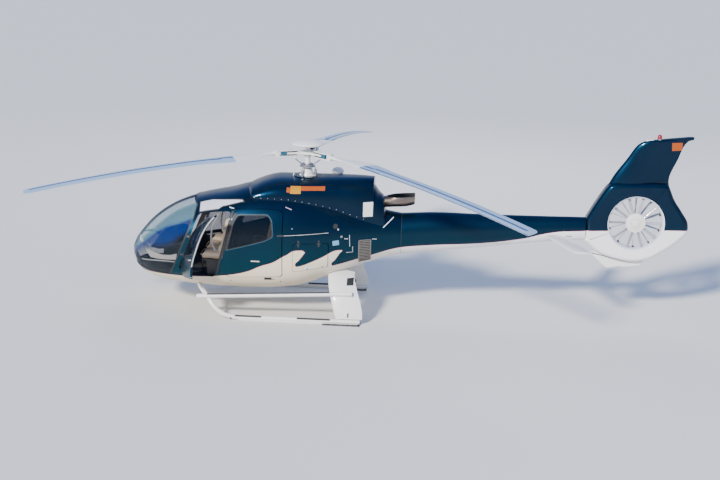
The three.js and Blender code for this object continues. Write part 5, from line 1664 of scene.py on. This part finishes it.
def ringOf(skin, outline, outer, inner, corner):
    return cut(common(skin, sidePrism(inset(outline, outer), corner)), sidePrism(inset(outline, inner), corner))


def buildTrims(data):
    bothSides(laid(layer(*trimSkin), [data["postTrim"]]), "post_trim", fixed, *seal)
    bothSides(laid(layer(*trimSkin), [data["doorTrim"]]), "door_trim", rearDoors, *seal)
    window, corner = cabin["rearWindow"], cabin["rearWindowCorner"]
    bothSides(ringOf(layer(*sealSkin), window, -7, 9, corner), "rear_window_seal", rearDoors, *seal)
    bothSides(ringOf(layer(1.3, 0.2), window, -14, -9, corner), "rear_window_line", rearDoors, "rubber", "damper")
    rim = ringOf(layer(*sealSkin), cabin["frontWindow"], -7, 9, cabin["frontWindowCorner"])
    swungOpen(bothSides(rim, "front_window_seal", frontDoors, *seal))
    for name, (out, *outerSpan), (back, *innerSpan) in (("windshield", (-12, 20, pastSkin), (12, 44, pastSkin)),
                                                        ("skylight", (-12, *roofSpan), (8, *roofSpan))):
        skin = common(layer(*sealSkin), prism(inset(cabin[name], out), *outerSpan))
        cut(skin, prism(inset(cabin[name], back), *innerSpan))
        bothSides(skin, f"{name}_seal", fixed, *seal)
    bothSides(laid(layer(-13, -30), [data["windshieldFrame"]]), "windshield_frame", fixed, "beige_leather",
              "beigeLining")
    bothSides(laid(layer(-13, -34), [band(data["chinFrame"], 15)]), "chin_frame", fixed, *white)

    # Handles: a dark cup and a bar across it
    for name, bodies, line in (("front_handle", frontDoors, data["frontHandle"]),
                               ("rear_handle", rearDoors, data["rearHandle"])):
        start, end = (Vector(point) for point in line)
        along = (end - start).normalized() * 16
        cup = laid(layer(*trimSkin), [roundedOutline(band((start - along, end + along), 44), 18)])
        grip = bevelled(laid(layer(11, 1.2), [band(line, 15)]), 2.5, 2)
        bothSides(cup, f"{name}_cup", bodies, *seal)
        bothSides(grip, f"{name}_bar", bodies, "bare_metal", "paleMark")
        if bodies is frontDoors:
            swungOpen(cup, grip)
    (x0, z0), (x1, z1) = data["innerHandle"]
    y0, y1 = (widthAt(x, z) - cabin["thickness"] - 26 for x, z in ((x0, z0), (x1, z1)))
    bar = tube([(x0 + 6, y0 + 34, z0), (x0 - 14, y0, z0), ((x0 + x1) / 2, (y0 + y1) / 2 - 4, (z0 + z1) / 2),
                (x1 + 14, y1, z1), (x1 - 6, y1 + 34, z1)], 11, 10, 4)
    # The white strip on the front doors' rear edge is partly the edge's own paint and partly a painted highlight of the
    # sunlit edge
    edge = laid(layer(-4, -22), [band(data["doorEdge"], 9)])
    swungOpen(bothSides(bar, "door_pull", frontDoors, *white),
              bothSides(edge, "door_edge_line", frontDoors, *white))


# Hinges: turned knuckles on the axis, and leaves that lie on the skin
def buildHinges():
    frontHinge, rearHinge = cabin["frontHinge"], cabin["rearHinge"]
    baggageHinge = ((0, 953, 1500), (1, 0.254, 0))
    knuckle, halfLength, outerFrom, outerTo = 11, 18, 19, 41      # radius, then distances along the axis
    for name, (origin, axis), stations, bodies, reach in (
            ("front_door", frontHinge, (410, 790), frontDoors, (-60, 0)),
            ("rear_door", rearHinge, (330, 800), rearDoors, (-60, 0)),
            ("baggage_door", baggageHinge, (60, -330), baggageDoors, (0, -62))):
        along = Vector(axis).normalized()
        side = Vector((along.x, along.z)).normalized() * 15
        moving, standing = [], []
        for station in stations:
            middle = Vector(origin) + along * station
            moving.append(rod(middle - along * halfLength, middle + along * halfLength, knuckle, 24, None, 2))
            for sign in (-1, 1):
                standing.append(rod(middle + along * sign * outerFrom, middle + along * sign * outerTo, knuckle, 24,
                                    None, 2))
            spot = Vector((middle.x, middle.z))
            for group, sign in ((moving, 1), (standing, -1)):
                far = Vector(reach) * sign
                leaf = laid(layer(5, -2), [(tuple(spot + side + far * 0.1), tuple(spot + side + far),
                                            tuple(spot - side + far), tuple(spot - side + far * 0.1))])
                group.append(bevelled(leaf, 1, 2))
        if name == "rear_door":      # the left one slides, so only the right door has hinges
            for group, body, label in ((moving, "rear_door_right", "moving"), (standing, "airframe", "fixed")):
                leaves = shaded(joined(*group))
                placed(mirrored(leaves, f"{name}_hinge_{label}"), body, *darkMetal)
                bpy.data.objects.remove(leaves)
            continue
        leaves = bothSides(joined(*moving), f"{name}_hinge_moving", bodies, *darkMetal)
        if name == "front_door":
            swungOpen(leaves)
        bothSides(joined(*standing), f"{name}_hinge_fixed", fixed, *darkMetal)


def buildMarks(data):
    rail = bevelled(laid(layer(14, 0.4), [band(data["rail"], 32)]), 2, 2)
    cut(rail, laid(layer(20, 7), [band(data["rail"], 11)]))
    made("slide_rail_grooved", rail, "airframe", "bare_metal", "body", "slide_rail")
    made("slide_rail_strip", laid(layer(10, 7.4), [band(data["rail"], 8)]), "airframe", "white_paint", "paleMark")
    arm = bevelled(laid(layer(11, 1), [band(data["arm"], 26)]), 2, 2)
    made("slide_arm", arm, "airframe", *darkMetal)
    slotOf = {"seal": "rubber", "metal": "bare_metal"}      # the others are paint
    for key, *lines in data["marks"]:
        piece = laid(layer(1.2, 0.1), [band(points, width) for points, width in lines])
        bothSides(piece, f"{key}_marks", fixed, slotOf.get(key, "white_paint"), key)
    for k, (key, x, z, radius, proud) in enumerate(data["buttons"], 1):
        piece = bevelled(laid(layer(proud, 0.1), [disc(x, z, radius)]), proud * 0.3, 2)
        bothSides(piece, f"{key}_button_{k}", fixed, slotOf.get(key, "white_paint"), key)
    plate = laid(layer(*trimSkin), [band(data["latchPlate"], 56)])
    bothSides(plate, "latch_plate", baggageDoors, *white)
    latches = bevelled(laid(layer(2.5, 0.1), [disc(x, z, 20) for x, z in data["latches"]]), 0.8, 2)
    bothSides(latches, "baggage_latches", baggageDoors, *metal)
    for name, key, outline in data["panels"]:
        bothSides(laid(cowlingLayer(1.4, 0.1), [outline]), name, fixed, "white_paint", key)
    heads = []
    rows = cowling["rows"]
    first, apart, number = data["cowlFasteners"]
    for k in range(number):
        x = first - k * apart
        a, b = next((a, b) for a, b in zip(rows, rows[1:]) if a[0] >= x >= b[0])
        heads.append(disc(x, a[2] + (b[2] - a[2]) * (x - a[0]) / (b[0] - a[0]) + 34, 8, 12))
    bothSides(bevelled(laid(cowlingLayer(2.2, 0.1), heads), 0.6, 2), "cowl_fasteners", fixed, *metal)


def boomLayer(outer, inner):
    return cut(boomShape(outer), boomShape(inner))


def buildFittings(data):
    bothSides(laid(boomLayer(1.4, 0.1), [band(data["boomSlot"], 13)], 20, 400), "boom_slot", fixed, *seal)
    joint = common(boomLayer(1.2, 0.1), box(-1870, -1865, -500, 500, 900, 2200))
    made("boom_joint_line", joint, "airframe", *seal)
    for name, outline, slot, key in (("fin_patch", data["finPatch"], "white_paint", "orange"),
                                     ("fin_seam", band(data["finSeam"], 6), *seal)):
        bothSides(laid(cut(finShape(1.6), finShape(0.2)), [outline], 5, 200), name, fixed, slot, key)
    plate = bevelled(prism(data["finPlate"], -46, 46), 9, 3)
    made("fin_top_plate", plate, "airframe", "blue_paint", "body")
    x, y, z = data["tailLight"]
    light = bevelled(box(x - 72, x + 72, -22, 22, z - 22, z + 24), 9, 3)
    made("tail_light", light, "airframe", "glass", "clearLens")
    for name, place, slot, key, steps, angle, profile in data["turned"]:
        made(name, spun(profile, data[place], "Z", steps), "airframe", slot, key, angle=angle)
    for name, (x0, x1, z0, z1) in (("fairing_plate", data["fairingPlate"]), ("fairing_slot", data["fairingSlot"])):
        piece = common(cut(fairingSkin(gear, 1.3), fairingSkin(gear, 0.2)), box(x0, x1, 560, 1300, z0, z1))
        bothSides(piece, name, fixed, *seal)
    bolts = [hexBolt((x, gear["track"] + y, 7.2), (x, gear["track"] + y, 15), 11) for x, y in data["padBolts"]]
    bothSides(joined(*bolts), "pad_bolts", fixed, *metal)
    for node, key in (("engine_block", "darkMetal"), ("front_seat_shells", "plastic"), ("rear_seat_shells", "plastic")):
        dressed(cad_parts[node], key)


buildTrims(details)
buildHinges()
buildMarks(details)
buildFittings(details)
for skin in layers.values():
    bpy.data.objects.remove(skin)
print("trims, hinges, marks and fittings")
